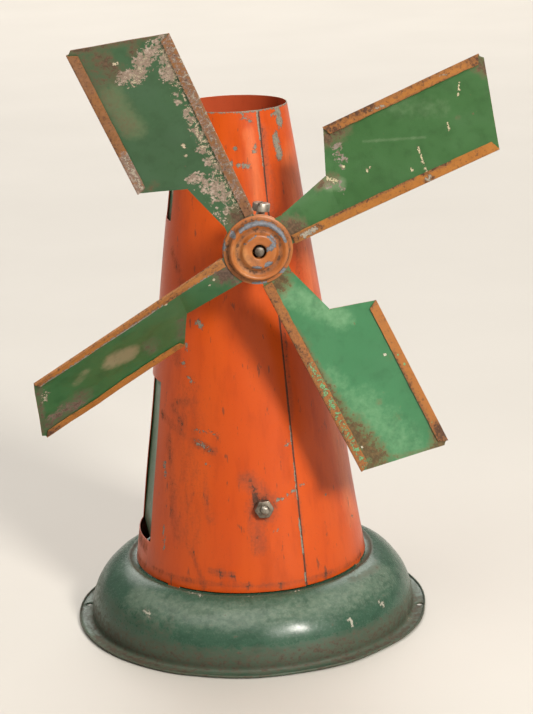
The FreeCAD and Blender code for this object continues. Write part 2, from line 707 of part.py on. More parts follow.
def make_wheel():
    """Grooved cord wheel on the axle's rear end, with a boss and its own slotted screw."""
    bore = "(Sizes.axle_diameter / 2 + Sizes.fit_clearance)"
    rim = "Sizes.wheel_diameter / 2"
    wide = "Sizes.wheel_rim_width"
    groove = f"({rim} - Sizes.wheel_groove_depth)"
    boss = "Sizes.wheel_hub_diameter / 2"
    long = f"({wide} + Sizes.wheel_hub_length)"
    body = turned("drive_wheel", [
        (bore, "0"), (rim, "0"), (rim, f"{wide} * 0.15"), (groove, f"{wide} * 0.5"),
        (rim, f"{wide} * 0.85"), (rim, wide), (boss, wide), (boss, long), (bore, long)])
    hole = new_sketch(body, "wheel_tapped", "YZ_Plane")
    middle = f"{wide} + Sizes.wheel_hub_length / 2"
    circle = hole.addGeometry(Part.Circle(Vector(0, evaluate(middle), 0), UP,
                                          size("set_screw_diameter") / 2), False)
    pin(hole, circle, 3, "0", middle)
    index = hole.addConstraint(Sketcher.Constraint("Radius", circle, size("set_screw_diameter") / 2))
    hole.setExpression(f"Constraints[{index}]", "Sizes.set_screw_diameter / 2 + Sizes.fit_clearance")
    pocket(body, "wheel_tapping", hole, "Sizes.wheel_hub_diameter")
    body.Placement = on_axle(-evaluate(WHEEL_FACE), TO_BACK)
    across = Placement(Vector(0, 0, evaluate(middle)), Rotation(Vector(0, 1, 0), 90))
    start = Placement(Vector(0, 0, evaluate("Sizes.axle_diameter / 2")), Rotation())
    slotted_screw("wheel_set_screw", "Sizes.wheel_screw_head", "Sizes.wheel_screw_head_height",
                  "Sizes.set_screw_diameter",
                  "(Sizes.wheel_screw_stand_off - Sizes.axle_diameter / 2)",
                  body.Placement.multiply(across).multiply(start), slot_turn=15)


# --------------------------------------------------------------------------- build and write


def build():
    """Makes every sub-part in the order it is put together."""
    make_base()
    make_tower()
    make_panel("door_panel", "Sizes.door_sill", "Sizes.door_height",
               "Sizes.door_half_width_low", "Sizes.door_half_width_high")
    make_panel("window_panel", "Sizes.window_sill", "Sizes.window_height",
               "Sizes.window_half_width", "Sizes.window_half_width")
    make_tie()
    bearing("front_bearing", TO_FRONT, "-1", BEARING_NOSE)
    bearing("rear_bearing", TO_BACK, "1", REAR_NOSE)
    make_axle()
    make_washer("front_washer", evaluate(f"{BEARING_NOSE} + Sizes.end_play"))
    make_washer("rear_washer", -evaluate(f"{REAR_FACE} + Sizes.washer_sheet"))
    make_hub()
    for label, *_ in SAILS:
        make_sail(label)
    make_wheel()
    doc.recompute()


def check():
    """Stops if any object failed or any sub-part has no valid solid."""
    for thing in doc.Objects:
        failed = [state for state in thing.State if state in ("Invalid", "Error")]
        if failed:
            raise RuntimeError(f"{thing.Label} is {failed}")
    for thing in nodes:
        shape = thing.Shape
        if shape.isNull() or not shape.isValid() or not shape.Solids:
            raise RuntimeError(f"{thing.Label} has no valid solid")
        print(f"{thing.Label:20s} solids {len(shape.Solids)}  volume {shape.Volume:10.1f} mm3")


def write():
    """Writes each sub-part to its own file."""
    for thing in nodes:
        thing.Shape.exportStep(f"parts/{thing.Label}.step")


build()
check()
write()
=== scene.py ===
"""Garden windmill of pressed and painted tin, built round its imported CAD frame."""

import math

import bmesh
import bpy
from mathutils import Matrix, Vector, noise


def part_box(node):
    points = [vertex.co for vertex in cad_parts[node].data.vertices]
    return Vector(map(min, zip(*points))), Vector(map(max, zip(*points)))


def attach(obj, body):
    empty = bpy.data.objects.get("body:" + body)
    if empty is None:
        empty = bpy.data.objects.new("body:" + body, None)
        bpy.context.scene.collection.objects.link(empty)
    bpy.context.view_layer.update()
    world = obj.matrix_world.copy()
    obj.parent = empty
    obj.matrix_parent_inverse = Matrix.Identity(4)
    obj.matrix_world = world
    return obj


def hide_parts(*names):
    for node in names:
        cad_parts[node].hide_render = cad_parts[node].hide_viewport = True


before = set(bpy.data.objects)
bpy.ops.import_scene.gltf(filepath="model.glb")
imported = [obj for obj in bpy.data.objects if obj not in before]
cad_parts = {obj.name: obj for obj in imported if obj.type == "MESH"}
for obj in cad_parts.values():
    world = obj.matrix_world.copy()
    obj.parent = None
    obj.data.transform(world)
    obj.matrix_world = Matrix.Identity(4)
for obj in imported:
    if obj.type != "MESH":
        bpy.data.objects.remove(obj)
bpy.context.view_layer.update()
scene = bpy.context.scene


# ---------------------------------------------------------------- camera
# A long lens a metre away, a little above the base and to the left of the windmill's front.
# It is held slightly off level, as a hand-held camera is.
camera_turn, camera_rise, camera_roll = math.radians(-8.29), math.radians(15.92), math.radians(-2.31)
camera_distance, aim_right, aim_height = 1.06589, 0.01275, 0.14109

back = Vector((math.sin(camera_turn) * math.cos(camera_rise),
               -math.cos(camera_turn) * math.cos(camera_rise), math.sin(camera_rise)))
aim = Vector((aim_right * math.cos(camera_turn), aim_right * math.sin(camera_turn), aim_height))
right = (-back).cross(Vector((0, 0, 1))).normalized()
up = right.cross(-back)
across = right * math.cos(camera_roll) + up * math.sin(camera_roll)
upward = up * math.cos(camera_roll) - right * math.sin(camera_roll)
lens = bpy.data.cameras.new("camera")
lens.lens, lens.sensor_width = 101.58, 36
camera = bpy.data.objects.new("camera", lens)
scene.collection.objects.link(camera)
camera.matrix_world = Matrix.Translation(aim + back * camera_distance) @ Matrix(
    (across, upward, back)).transposed().to_4x4()
scene.camera = camera


# ---------------------------------------------------------------- floor and light
# A pale table top that runs on behind as a pale backdrop, under one soft window light from the
# front right, a broad weak one overhead, another on the backdrop, and a pale room all round.
MM = 0.001


def linear(code):
    """A linear colour from an sRGB hex code."""
    parts = [int(code[i:i + 2], 16) / 255 for i in (1, 3, 5)]
    return [c / 12.92 if c <= 0.04045 else ((c + 0.055) / 1.055) ** 2.4 for c in parts] + [1]


def add_node(tree, kind, inputs=None, result=None, **settings):
    """Adds a node, sets its properties, sets or links its inputs, and gives back one output."""
    made = tree.nodes.new(kind)
    for name, value in settings.items():
        setattr(made, name, value)
    for name, value in (inputs or {}).items():
        if isinstance(value, bpy.types.NodeSocket):
            tree.links.new(value, made.inputs[name])
        else:
            made.inputs[name].default_value = value
    return made if result is None else made.outputs[result]


def new_material(name):
    """An empty node material and its node tree."""
    material = bpy.data.materials.new(name)
    material.use_nodes = True
    material.node_tree.nodes.clear()
    return material, material.node_tree


def start_clean():
    """Leaves nothing selected, so that an operator acts on the new piece alone."""
    if bpy.context.object and bpy.context.object.mode != "OBJECT":
        bpy.ops.object.mode_set(mode="OBJECT")
    bpy.ops.object.select_all(action="DESELECT")


# Honed stone: pale, matt and faintly clouded.
stone, tree = new_material("honed_pale_stone")
place = add_node(tree, "ShaderNodeTexCoord", None, "Object")
cloud = add_node(tree, "ShaderNodeTexNoise", {"Vector": place, "Scale": 1 / (200 * MM), "Detail": 5.0}, "Fac")
tint = add_node(tree, "ShaderNodeMix", {"Factor": cloud, "A": linear("#b8b4ad"), "B": linear("#c1bdb6")},
                "Result", data_type="RGBA")
grain = add_node(tree, "ShaderNodeBump", {"Height": cloud, "Strength": 0.05, "Distance": 1 * MM}, "Normal")
honed = add_node(tree, "ShaderNodeBsdfPrincipled", {
    "Base Color": tint, "Roughness": 0.55, "Normal": grain}, "BSDF")
add_node(tree, "ShaderNodeOutputMaterial", {"Surface": honed})

start_clean()
bpy.ops.mesh.primitive_grid_add(x_subdivisions=8, y_subdivisions=8, size=24)
floor = bpy.context.object
floor.name = "floor"
floor.data.materials.append(stone)

room = bpy.data.worlds.new("room")
room.use_nodes = True
room.node_tree.nodes["Background"].inputs["Color"].default_value = linear("#fbf7f1")
room.node_tree.nodes["Background"].inputs["Strength"].default_value = 0.21
scene.world = room
scene.view_settings.view_transform = "Standard"


def soft_light(name, place, aim, wide, high, power, tint, spread=180):
    """One large soft box, with the angle that its light spreads over."""
    lamp = bpy.data.lights.new(name, "AREA")
    lamp.shape, lamp.size, lamp.size_y, lamp.energy = "RECTANGLE", wide, high, power
    lamp.color, lamp.spread = linear(tint)[:3], math.radians(spread)
    holder = bpy.data.objects.new(name, lamp)
    holder.matrix_world = Matrix.Translation(place) @ (
        Vector(place) - Vector(aim)).to_track_quat("Z", "Y").to_matrix().to_4x4()
    scene.collection.objects.link(holder)


soft_light("window_light", (0.873, -1.79, 1.33), (0, 0, 0.18), 0.40, 0.40, 58, "#fffaf2")
soft_light("room_light", (-0.6, -0.7, 2.3), (0, 0, 0.1), 1.8, 1.8, 24, "#fffcf6")
soft_light("backdrop_light", (0.3, 3.8, 2.6), (0.0, 3.4, 0), 5.0, 3.0, 205, "#fffaf4")
# The far floor is lit from straight above, so that it stays pale from every side.
for side, (far_x, far_y) in (("left", (-4.2, 0)), ("right", (4.2, 0)), ("front", (0, -4.4))):
    soft_light("far_light_" + side, (far_x, far_y, 2.6), (far_x, far_y, 0), 5.0, 5.0, 90, "#fffaf4", 100)


# ---------------------------------------------------------------- base pan
# A shallow domed pan pressed from one disc of thin tin plate and dipped in dark green enamel,
# with a flat flange, a sunk seat for the tower and two screw holes. Years outdoors have
# scuffed its shoulders to grey and left brown grime in the flange and round the seat.
def edit(piece):
    """Opens a piece for editing, with nothing selected."""
    start_clean()
    bpy.context.view_layer.objects.active = piece
    piece.select_set(True)
    bpy.ops.object.mode_set(mode="EDIT")
    bpy.ops.mesh.select_mode(type="VERT")
    bpy.ops.mesh.select_all(action="DESELECT")


def pick(kind, wanted):
    """Selects the vertices, edges or faces of the open piece that pass a test of their middle."""
    bpy.ops.mesh.select_mode(type={"verts": "VERT", "edges": "EDGE", "faces": "FACE"}[kind])
    bpy.ops.mesh.select_all(action="DESELECT")
    mesh = bmesh.from_edit_mesh(bpy.context.object.data)
    for part in getattr(mesh, kind):
        corners = [part] if kind == "verts" else part.verts
        part.select = bool(wanted(sum((v.co for v in corners), Vector()) / len(corners), part))
    mesh.select_flush_mode()
    bmesh.update_edit_mesh(bpy.context.object.data)


def apply_modifier(piece, kind, **settings):
    """Adds a modifier and applies it."""
    start_clean()
    bpy.context.view_layer.objects.active = piece
    piece.select_set(True)
    modifier = piece.modifiers.new(kind.lower(), kind)
    for name, value in settings.items():
        setattr(modifier, name, value)
    bpy.ops.object.modifier_apply(modifier=modifier.name)


def cut_away(piece, cutter):
    """Cuts one closed shape out of a piece, and removes the cutter."""
    apply_modifier(piece, "BOOLEAN", operation="DIFFERENCE", object=cutter, solver="EXACT")
    bpy.data.objects.remove(cutter)


def draw_up(name, rings, around, capped=(False, False)):
    """A round piece drawn up from a first circle, ring by ring. Each ring is (radius, height), and
    a profile that ends on its first ring is closed there."""
    start_clean()
    radius, height = rings[0]
    bpy.ops.mesh.primitive_circle_add(vertices=around, radius=radius, location=(0, 0, height),
                                      fill_type="NGON" if capped[0] else "NOTHING")
    piece = bpy.context.object
    piece.name = piece.data.name = name
    bpy.ops.object.transform_apply(location=True)
    bpy.ops.object.mode_set(mode="EDIT")
    bpy.ops.mesh.select_mode(type="EDGE")
    bpy.ops.mesh.select_all(action="SELECT")
    for new_radius, new_height in rings[1:]:
        bpy.ops.mesh.extrude_edges_move(TRANSFORM_OT_translate={"value": (0, 0, new_height - height)})
        grow = new_radius / radius
        bpy.ops.transform.resize(value=(grow, grow, 1))
        radius, height = new_radius, new_height
    if capped[1]:
        bpy.ops.mesh.edge_face_add()
    bpy.ops.mesh.select_all(action="SELECT")
    if rings[0] == rings[-1]:
        bpy.ops.mesh.remove_doubles(threshold=1e-6)
    bpy.ops.mesh.normals_make_consistent(inside=False)
    bpy.ops.object.mode_set(mode="OBJECT")
    return piece


def face_out(piece, at, toward):
    """Turns a whole open skin over if the face nearest a point looks away from a direction."""
    nearest = min(piece.data.polygons, key=lambda face: (face.center - Vector(at)).length)
    if nearest.normal.dot(Vector(toward)) < 0:
        edit(piece)
        bpy.ops.mesh.select_all(action="SELECT")
        bpy.ops.mesh.flip_normals()
        bpy.ops.object.mode_set(mode="OBJECT")


def arc(centre, radius, start, end, steps):
    """Points on an arc, from one angle to another in degrees."""
    turns = [math.radians(start + (end - start) * step / steps) for step in range(steps + 1)]
    return [(centre[0] + radius * math.cos(a), centre[1] + radius * math.sin(a)) for a in turns]


def near(point, start, end):
    """How far a flat point is from the line between two others."""
    ax, ay = end[0] - start[0], end[1] - start[1]
    px, py = point[0] - start[0], point[1] - start[1]
    along = max(0.0, min(1.0, (px * ax + py * ay) / (ax * ax + ay * ay or 1)))
    return math.hypot(px - ax * along, py - ay * along)


def lay_wear_and_painted_light(piece, flat, marks):
    """Paints the piece's wear map with soft strokes, given for each kind of wear as
    (x, y, to x, to y, reach, strength) in the flat sheet's millimetres. A few strokes in the map
    paint highlights and shade rather than wear."""
    values = []
    for vertex in piece.data.vertices:
        point = flat(vertex)
        for kind in ("bare", "rust", "scab", "fade_and_sheen"):
            level = 0.0
            for x, y, to_x, to_y, reach, strength in marks.get(kind, ()):
                away = near(point, (x, y), (to_x, to_y)) / reach
                if away < 1:
                    level = max(level, strength * (1 - away) * (1 + away))
            values.append(level)
    wear_and_painted_light = piece.data.attributes.new("wear_and_painted_light", "FLOAT_COLOR", "POINT")
    wear_and_painted_light.data.foreach_set("color", values)


def enamel(name, tones, gloss, stretch=(1, 1, 1), specks=0.0, crumble=1.0):
    """Old stoved enamel on tin plate, from its fresh, cloudy, faded, chip, rust and scab colours.
    The faded colour also serves for painted highlights. The wear map says how far each kind of wear
    has gone, and where painted highlights and painted shade lie, and finer noise tears its edges."""
    fresh, cloudy, fade_and_sheen_tone, chip, rust, scab = [linear(tone) for tone in tones]
    material, tree = new_material(name)
    place = add_node(tree, "ShaderNodeTexCoord", None, "Object")
    drawn = add_node(tree, "ShaderNodeMapping", {"Vector": place, "Scale": stretch}, "Vector")
    noises = {}
    for kind, across_mm, detail, where in (
            ("cloud", 28, 4.0, drawn), ("streak", 7, 5.0, drawn), ("blot", 3.2, 6.0, drawn),
            ("crumb", 1.5, 5.0, place), ("dust", 0.6, 3.0, place)):
        noises[kind] = add_node(tree, "ShaderNodeTexNoise", {
            "Vector": where, "Scale": 1 / (across_mm * MM), "Detail": detail, "Roughness": 0.62}, "Fac")

    # Noise about zero that tears an edge: rough is fine, broad is coarse, and both is their sum.
    torn = {}
    for kind, value, times, plus in (
            ("fine", "dust", 0.5, noises["crumb"]), ("rough", "fine", crumble, -0.75 * crumble),
            ("broad", "blot", 1.6, -0.8), ("both", "rough", 1.2, "broad")):
        source = torn[value] if value in torn else noises[value]
        torn[kind] = add_node(tree, "ShaderNodeMath", {0: source, 1: times, 2: torn.get(plus, plus)}, 0,
                              operation="MULTIPLY_ADD")

    # Each kind of wear shows where its level on the map, plus a tear, is past an edge.
    wear_and_painted_light = add_node(tree, "ShaderNodeAttribute", attribute_name="wear_and_painted_light")
    levels = add_node(tree, "ShaderNodeSeparateColor", {"Color": wear_and_painted_light.outputs["Color"]}).outputs
    shown = {}
    for kind, level, tear, swing, low, high in (
            ("lip", levels["Red"], "rough", 2.2, 0.46, 0.54),
            ("bare", levels["Red"], "rough", 2.2, 0.55, 0.62),
            ("stain_and_shade", levels["Green"], "both", 0.7, 0.12, 0.95),
            ("rust", levels["Green"], "both", 1.1, 0.74, 0.94),
            ("scab", levels["Blue"], "both", 1.7, 0.46, 0.60),
            ("fleck", levels["Blue"], "rough", 2.8, 1.02, 1.12),
            ("fade_and_sheen", wear_and_painted_light.outputs["Alpha"], "broad", 0.5, 0.15, 0.95)):
        edge = add_node(tree, "ShaderNodeMath", {0: torn[tear], 1: swing, 2: level}, 0,
                        operation="MULTIPLY_ADD")
        worn = add_node(tree, "ShaderNodeMapRange", {"Value": edge, "From Min": low, "From Max": high},
                        "Result", interpolation_type="SMOOTHSTEP")
        there = add_node(tree, "ShaderNodeMath", {0: level, 1: 0.04}, 0, operation="GREATER_THAN")
        shown[kind] = add_node(tree, "ShaderNodeMath", {0: worn, 1: there}, 0, operation="MULTIPLY")

    # Thin variation all over, and the crust that breaks up every loss.
    thin = {}
    for kind, source, low, high, most in (
            ("mottle", "cloud", 0.35, 0.70, 0.8), ("shade", "streak", 0.50, 0.30, 0.45),
            ("pits", "dust", 0.70 - specks, 0.75 - specks, 0.6),
            ("freckle", "blot", 0.68 - specks, 0.72 - specks, 0.7), ("crust", "crumb", 0.48, 0.62, 0.9)):
        thin[kind] = add_node(tree, "ShaderNodeMapRange", {
            "Value": noises[source], "From Min": low, "From Max": high, "To Max": most}, "Result")
    deep = [part * 0.70 for part in fresh[:3]] + [1]
    murk = [part * 0.65 + other * 0.35 for part, other in zip(rust, scab)]
    bruise = [part * 0.55 for part in rust[:3]] + [1]
    grey = [part * 0.62 for part in chip[:3]] + [1]
    # The stain layer darkens with grime and rust stains, and on the tower also with strokes of painted shade.
    stained_and_shaded = add_node(tree, "ShaderNodeMath", {0: shown["stain_and_shade"], 1: 0.62}, 0, operation="MULTIPLY")
    scabbed, rusted, bared = [
        add_node(tree, "ShaderNodeMix", {"Factor": thin["crust"], "A": under, "B": over}, "Result",
                 data_type="RGBA")
        for under, over in ((murk, scab), (bruise, rust), (chip, grey))]
    coat = fresh
    for share, colour in (
            (thin["mottle"], cloudy), (shown["fade_and_sheen"], fade_and_sheen_tone), (thin["shade"], deep), (thin["pits"], rust),
            (thin["freckle"], rust), (stained_and_shaded, rust), (shown["scab"], scabbed), (shown["fleck"], scab),
            (shown["rust"], rusted), (shown["lip"], bruise), (shown["bare"], bared)):
        coat = add_node(tree, "ShaderNodeMix", {"Factor": share, "A": coat, "B": colour}, "Result",
                        data_type="RGBA")

    # Losses are matt, the chips' lips stand down from the paint, and bare tin shines a little.
    rubbed = shown["bare"]
    for kind in ("stain_and_shade", "rust", "scab"):
        rubbed = add_node(tree, "ShaderNodeMath", {0: rubbed, 1: shown[kind]}, 0, operation="MAXIMUM")
    matt = add_node(tree, "ShaderNodeMapRange", {
        "Value": rubbed, "To Min": gloss - 0.11, "To Max": 0.62}, "Result")
    relief = noises["dust"]
    for value, times in ((noises["crumb"], 0.35), (shown["lip"], -0.8)):
        relief = add_node(tree, "ShaderNodeMath", {0: value, 1: times, 2: relief}, 0,
                          operation="MULTIPLY_ADD")
    shader = add_node(tree, "ShaderNodeBsdfPrincipled", {
        "Base Color": coat,
        "Roughness": add_node(tree, "ShaderNodeMath", {0: noises["crumb"], 1: 0.22, 2: matt}, 0,
                              operation="MULTIPLY_ADD"),
        "Metallic": add_node(tree, "ShaderNodeMath", {0: shown["bare"], 1: 0.35}, 0, operation="MULTIPLY"),
        "Specular IOR Level": 0.38,
        "Normal": add_node(tree, "ShaderNodeBump", {
            "Height": relief, "Strength": 0.35, "Distance": 0.12 * MM}, "Normal")}, "BSDF")
    add_node(tree, "ShaderNodeOutputMaterial", {"Surface": shader})
    return material


base_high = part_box("base_shell")[1]
base_sheet = 0.6 * MM
flange, foot, crest, hole = base_high.x, 87.0 * MM, 66.4 * MM, 57.5 * MM
seat_height = base_high.z - 1.0 * MM
# The upper skin's profile, from the flange's rim over the dome and down into the tower's seat.
skin = [(flange - 0.7 * MM, 1.65 * MM), (flange - 0.65 * MM, 1.1 * MM), (flange - 1.0 * MM, 0.75 * MM),
        (flange - 2.4 * MM, 0.62 * MM), (flange - 4.5 * MM, 0.6 * MM), (foot + 1.0 * MM, 0.6 * MM)]
dome_middle, dome_radius = (57.3 * MM, 4.63 * MM), 30 * MM
skin += arc(dome_middle, dome_radius, -5.5, 72.3, 30)
skin += [(crest - 0.5 * MM, base_high.z + 0.03 * MM), (crest - 1.1 * MM, base_high.z - 0.35 * MM),
         (crest - 1.9 * MM, seat_height), (62 * MM, seat_height), (60 * MM, seat_height),
         (hole + 0.5 * MM, seat_height), (hole, seat_height - 0.5 * MM), (hole, seat_height - 2 * MM),
         (hole, seat_height - 5 * MM)]
base = draw_up("base_pan", skin, 240)
face_out(base, (0, -crest, base_high.z), (0, -0.2, 1))
# The flange ripples where it has been stood on, and the dome is a little uneven from the press.
for vertex in base.data.vertices:
    x, y, z = vertex.co
    ripple = noise.noise(Vector((x, y, 0)) / (18 * MM)) * 0.35 * MM
    rim = max(0.0, (math.hypot(x, y) - foot) / (flange - foot))
    vertex.co.z += max(0.0, ripple + 0.15 * MM) * (0.25 + 0.75 * rim)
    if rim > 0:
        pressed = 1 - 0.016 * rim * max(0.0, 0.3 + noise.noise(Vector((x, y, 0.4)) / (34 * MM)))
        vertex.co.x, vertex.co.y = x * pressed, y * pressed
    dome = min(1.0, max(0.0, (z - 4 * MM) / (10 * MM))) * (1 if math.hypot(x, y) > crest else 0)
    vertex.co *= 1 - 0.004 * dome * (0.5 + noise.noise(vertex.co / (14 * MM)))
apply_modifier(base, "SOLIDIFY", thickness=base_sheet, offset=-1.0, use_even_offset=True)

start_clean()
screw_circle, screw_hole = 91 * MM, 1.8 * MM
for side in (0, 180):
    turn = math.radians(-14 + side)
    bpy.ops.mesh.primitive_cylinder_add(vertices=32, radius=screw_hole, depth=12 * MM, location=(
        screw_circle * math.cos(turn), screw_circle * math.sin(turn), 0))
    cut_away(base, bpy.context.object)


def on_pan(vertex):
    """Flat place on the base: degrees round from the front, and millimetres out from the middle."""
    x, y = vertex.co.xy
    return math.degrees(math.atan2(x, -y)), math.hypot(x, y) / MM


base_marks = {
    "bare": [(12, 66.5, 13, 66.5, 1.2, 0.9), (-9, 66.8, -7, 66.8, 1.0, 0.8), (28, 84, 29, 85, 1.3, 0.8),
        (-38, 66.9, -30, 66.8, 1.1, 0.7), (45, 83, 46, 84, 1.2, 0.8), (-52, 80, -49, 81, 1.4, 0.7),
        (70, 94.5, 95, 94.5, 1.0, 0.6)],
    "rust": [(-180, 94.6, 180, 94.6, 1.6, 0.75), (-180, 87.6, 180, 87.6, 2.4, 0.72),
        (-180, 65.0, 180, 65.0, 2.2, 0.75), (-75, 90, -30, 91, 5, 0.9), (20, 90, 80, 91, 5, 0.85),
        (-180, 90, 180, 90, 5, 0.5), (100, 90, 260, 90, 3.5, 0.7), (40, 70, 60, 72, 3, 0.55),
        (-100, 84, -40, 85, 6, 0.4)],
    "scab": [(62, 88, 64, 90, 2.2, 0.7)],
    "fade_and_sheen": [(-60, 76, 60, 76, 10, 0.55), (50, 78, 110, 78, 9, 0.3)],
}
lay_wear_and_painted_light(base, on_pan, base_marks)
# Dark green stoving enamel: deep, glassy on the shoulders, dulled to grey where it is scuffed.
base.data.materials.append(enamel("green_stoving_enamel_base", (
    "#2f4b3b", "#3d5948", "#728070", "#b9b7a6", "#54483a", "#8b8c78"), 0.26, (1, 1, 1.6), 0.02))
for face in base.data.polygons:
    face.use_smooth = True
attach(base, "stand")
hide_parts("base_shell")


# ---------------------------------------------------------------- tower
# One sheet of tin plate rolled to a taper and lapped down the front right, enamelled orange
# inside and out. Its doorway and window are snipped out of the left side, and three tongues at
# the foot pass through the base. The enamel is chipped to grey tin at the mouth and down the lap.
wall_foot, wall_top = 62.0 * MM, 28.4 * MM
tower_low, tower_high = seat_height + 0.8 * MM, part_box("tower_shell")[1].z
wall_slope = (wall_foot - wall_top) / (tower_high - seat_height)
tin, lap, seam = 0.4 * MM, 6.0 * MM, math.radians(19)


def wall_radius(height):
    """The outside radius of the tower at a height."""
    return wall_foot - (height - seat_height) * wall_slope


start_clean()
tall = tower_high - tower_low
columns, rows = 256, 140
bpy.ops.mesh.primitive_grid_add(x_subdivisions=columns, y_subdivisions=rows, size=1)
tower = bpy.context.object
tower.name = tower.data.name = "tower_sheet"
bpy.ops.transform.resize(value=(2 * math.pi, tall, 1))
bpy.ops.transform.translate(value=(0, tower_low + tall / 2, 0))
bpy.ops.object.transform_apply(location=True, scale=True)
edit(tower)
half_tongue, tongue_long = 3.6 * MM / wall_foot, 2.2 * MM
for middle in (-53, 67, 187):
    bend = (math.radians(middle) - seam) % (2 * math.pi) - math.pi
    pick("edges", lambda co, edge: len(edge.link_faces) == 1 and co.y < tower_low + 1e-6
         and abs(co.x - bend) < half_tongue)
    bpy.ops.mesh.extrude_edges_move(TRANSFORM_OT_translate={"value": (0, -tongue_long, 0)})
bpy.ops.object.mode_set(mode="OBJECT")


def dent(where, centre, reach, depth):
    """How far a soft dent pushes in a point of a flat sheet."""
    away = math.hypot((where[0] - centre[0]) / reach[0], (where[1] - centre[1]) / reach[1])
    return depth * math.exp(-away * away * 2)


# Each dent: (degrees round, millimetres up), its reach in both, and its depth in millimetres.
tower_dents = [((-30, 96), (16, 22), 0.5), ((8, 150), (22, 30), 0.35), ((-55, 60), (14, 16), 0.6),
               ((38, 58), (20, 14), 0.5), ((-14, 48), (18, 10), 0.5), ((60, 120), (22, 40), 0.5),
               ((120, 90), (26, 26), 0.7), ((-10, 262), (10, 8), 0.35), ((42, 258), (12, 10), 0.5),
               ((180, 200), (30, 20), 0.6), ((-40, 200), (12, 24), 0.4), ((170, 90), (30, 30), 0.8)]
flat_uv = tower.data.uv_layers[0].data
rolled = []
# Millimetres round from the sheet's first edge and back from its last, set close by the lap.
near_seam = [0, 5.0, 5.8, 6.1, 6.4, 6.8, 7.2, 7.7, 8.3, 9.0]
near_end = [2.4, 1.9, 1.5, 1.15, 0.85, 0.55, 0.3, 0.0]


def column_arc(column, whole):
    """How far round the sheet a column stands, in millimetres: close together by the seam."""
    first, last = len(near_seam) - 1, columns + 1 - len(near_end)
    if column <= first:
        return near_seam[column]
    if column >= last:
        return whole - near_end[column - last]
    share = (column - first) / (last - first)
    return near_seam[-1] + (whole - near_end[0] - near_seam[-1]) * share


for vertex in tower.data.vertices:
    share, height = vertex.co.x / (2 * math.pi) + 0.5, vertex.co.y
    radius = wall_radius(height)
    begin = seam - lap / radius
    whole = (2 * math.pi * radius + lap) / MM
    turn = begin + column_arc(round(share * columns), whole) * MM / radius
    over = min(1.0, max(0.0, (turn - (begin + 2 * math.pi - math.radians(14))) / math.radians(13)))
    angle = (math.degrees(turn) + 180) % 360 - 180
    sag = sum(dent((angle, height / MM), *one) for one in tower_dents)
    steady = min(1.0, share * 12, (1 - share) * 12)
    wave = noise.noise(Vector((math.sin(turn), math.cos(turn), height * 22))) * 0.35 * steady
    out = radius - tin / 2 + over * (tin + 0.06 * MM) - (sag * steady + wave) * MM
    rolled.append((turn, height))
    vertex.co = (out * math.sin(turn), -out * math.cos(turn), height)
for loop in tower.data.loops:
    turn, height = rolled[loop.vertex_index]
    flat_uv[loop.index].uv = ((turn - seam - 2 * math.pi) * wall_radius(height), height)
face_out(tower, (0, -45 * MM, 150 * MM), (0, -1, 0))
# Orange stoving enamel: smooth and waxy, brushed faintly up and down, a little chalked on top, with a painted
# highlight streak left of the lap near the top.
# Inside it is thinner and duller, and round the sheet's cut edge it is rubbed to pale tin.
losses = ("#8f897a", "#5f3826", "#a8795c")
drawn_up = (0.36, (1, 1, 0.22), 0.045)
for finish in (enamel("orange_stoving_enamel", ("#b84306", "#c44f0c", "#cf6a38", *losses), *drawn_up),
               enamel("orange_stoving_enamel_inside", ("#ae4829", "#b6512f", "#b0583c", *losses), *drawn_up),
               enamel("worn_cut_edge", ("#b9a089", "#c9b8a2", "#d8c9b4", "#b4b0a4", "#7b4a33", "#a8795c"),
                      0.4, (1, 1, 1), 0.05)):
    tower.data.materials.append(finish)
apply_modifier(tower, "SOLIDIFY", thickness=tin, offset=0.0, material_offset=1, material_offset_rim=2)


def side_cutter(sill, high, low_half, high_half):
    """A tapering block that opens the left side of the tower above a sill, by its half widths."""
    start_clean()
    bpy.ops.mesh.primitive_cube_add(size=1)
    cutter = bpy.context.object
    edit(cutter)
    bpy.ops.mesh.select_all(action="SELECT")
    block_deep, block_middle = 70 * MM, -45 * MM
    bpy.ops.transform.resize(value=(block_deep, 2 * low_half, high))
    bpy.ops.transform.translate(value=(block_middle, 0, sill + high / 2))
    pick("verts", lambda co, part: co.z > sill + high / 2)
    bpy.ops.transform.resize(value=(1, high_half / low_half, 1))
    bpy.ops.object.mode_set(mode="OBJECT")
    return cutter


def cross_drill(height, radius):
    """A round bar along Y right through the tower."""
    start_clean()
    bpy.ops.mesh.primitive_cylinder_add(vertices=40, radius=radius, depth=160 * MM,
                                        location=(0, 0, height), rotation=(math.pi / 2, 0, 0))
    bpy.ops.object.transform_apply(location=True, rotation=True)
    return bpy.context.object


axle_height = (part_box("axle")[0].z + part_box("axle")[1].z) / 2
tie_height = (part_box("tie_nut")[0].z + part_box("tie_nut")[1].z) / 2
# Each opening: its sill, its height, and half its width at the sill and at the top.
doorway, window = (50 * MM, 86 * MM, 20.5 * MM, 15.5 * MM), (219 * MM, 24 * MM, 9 * MM, 9 * MM)
bearing_hole, tie_hole = 4.1 * MM, 2.3 * MM
cut_away(tower, side_cutter(*doorway))
cut_away(tower, side_cutter(*window))
cut_away(tower, cross_drill(axle_height, bearing_hole))
cut_away(tower, cross_drill(tie_height, tie_hole))


def on_wall(vertex):
    """Flat place on the rolled tower: millimetres round from the front, and up."""
    x, y, z = vertex.co
    return math.atan2(x, -y) * wall_radius(z) / MM, z / MM


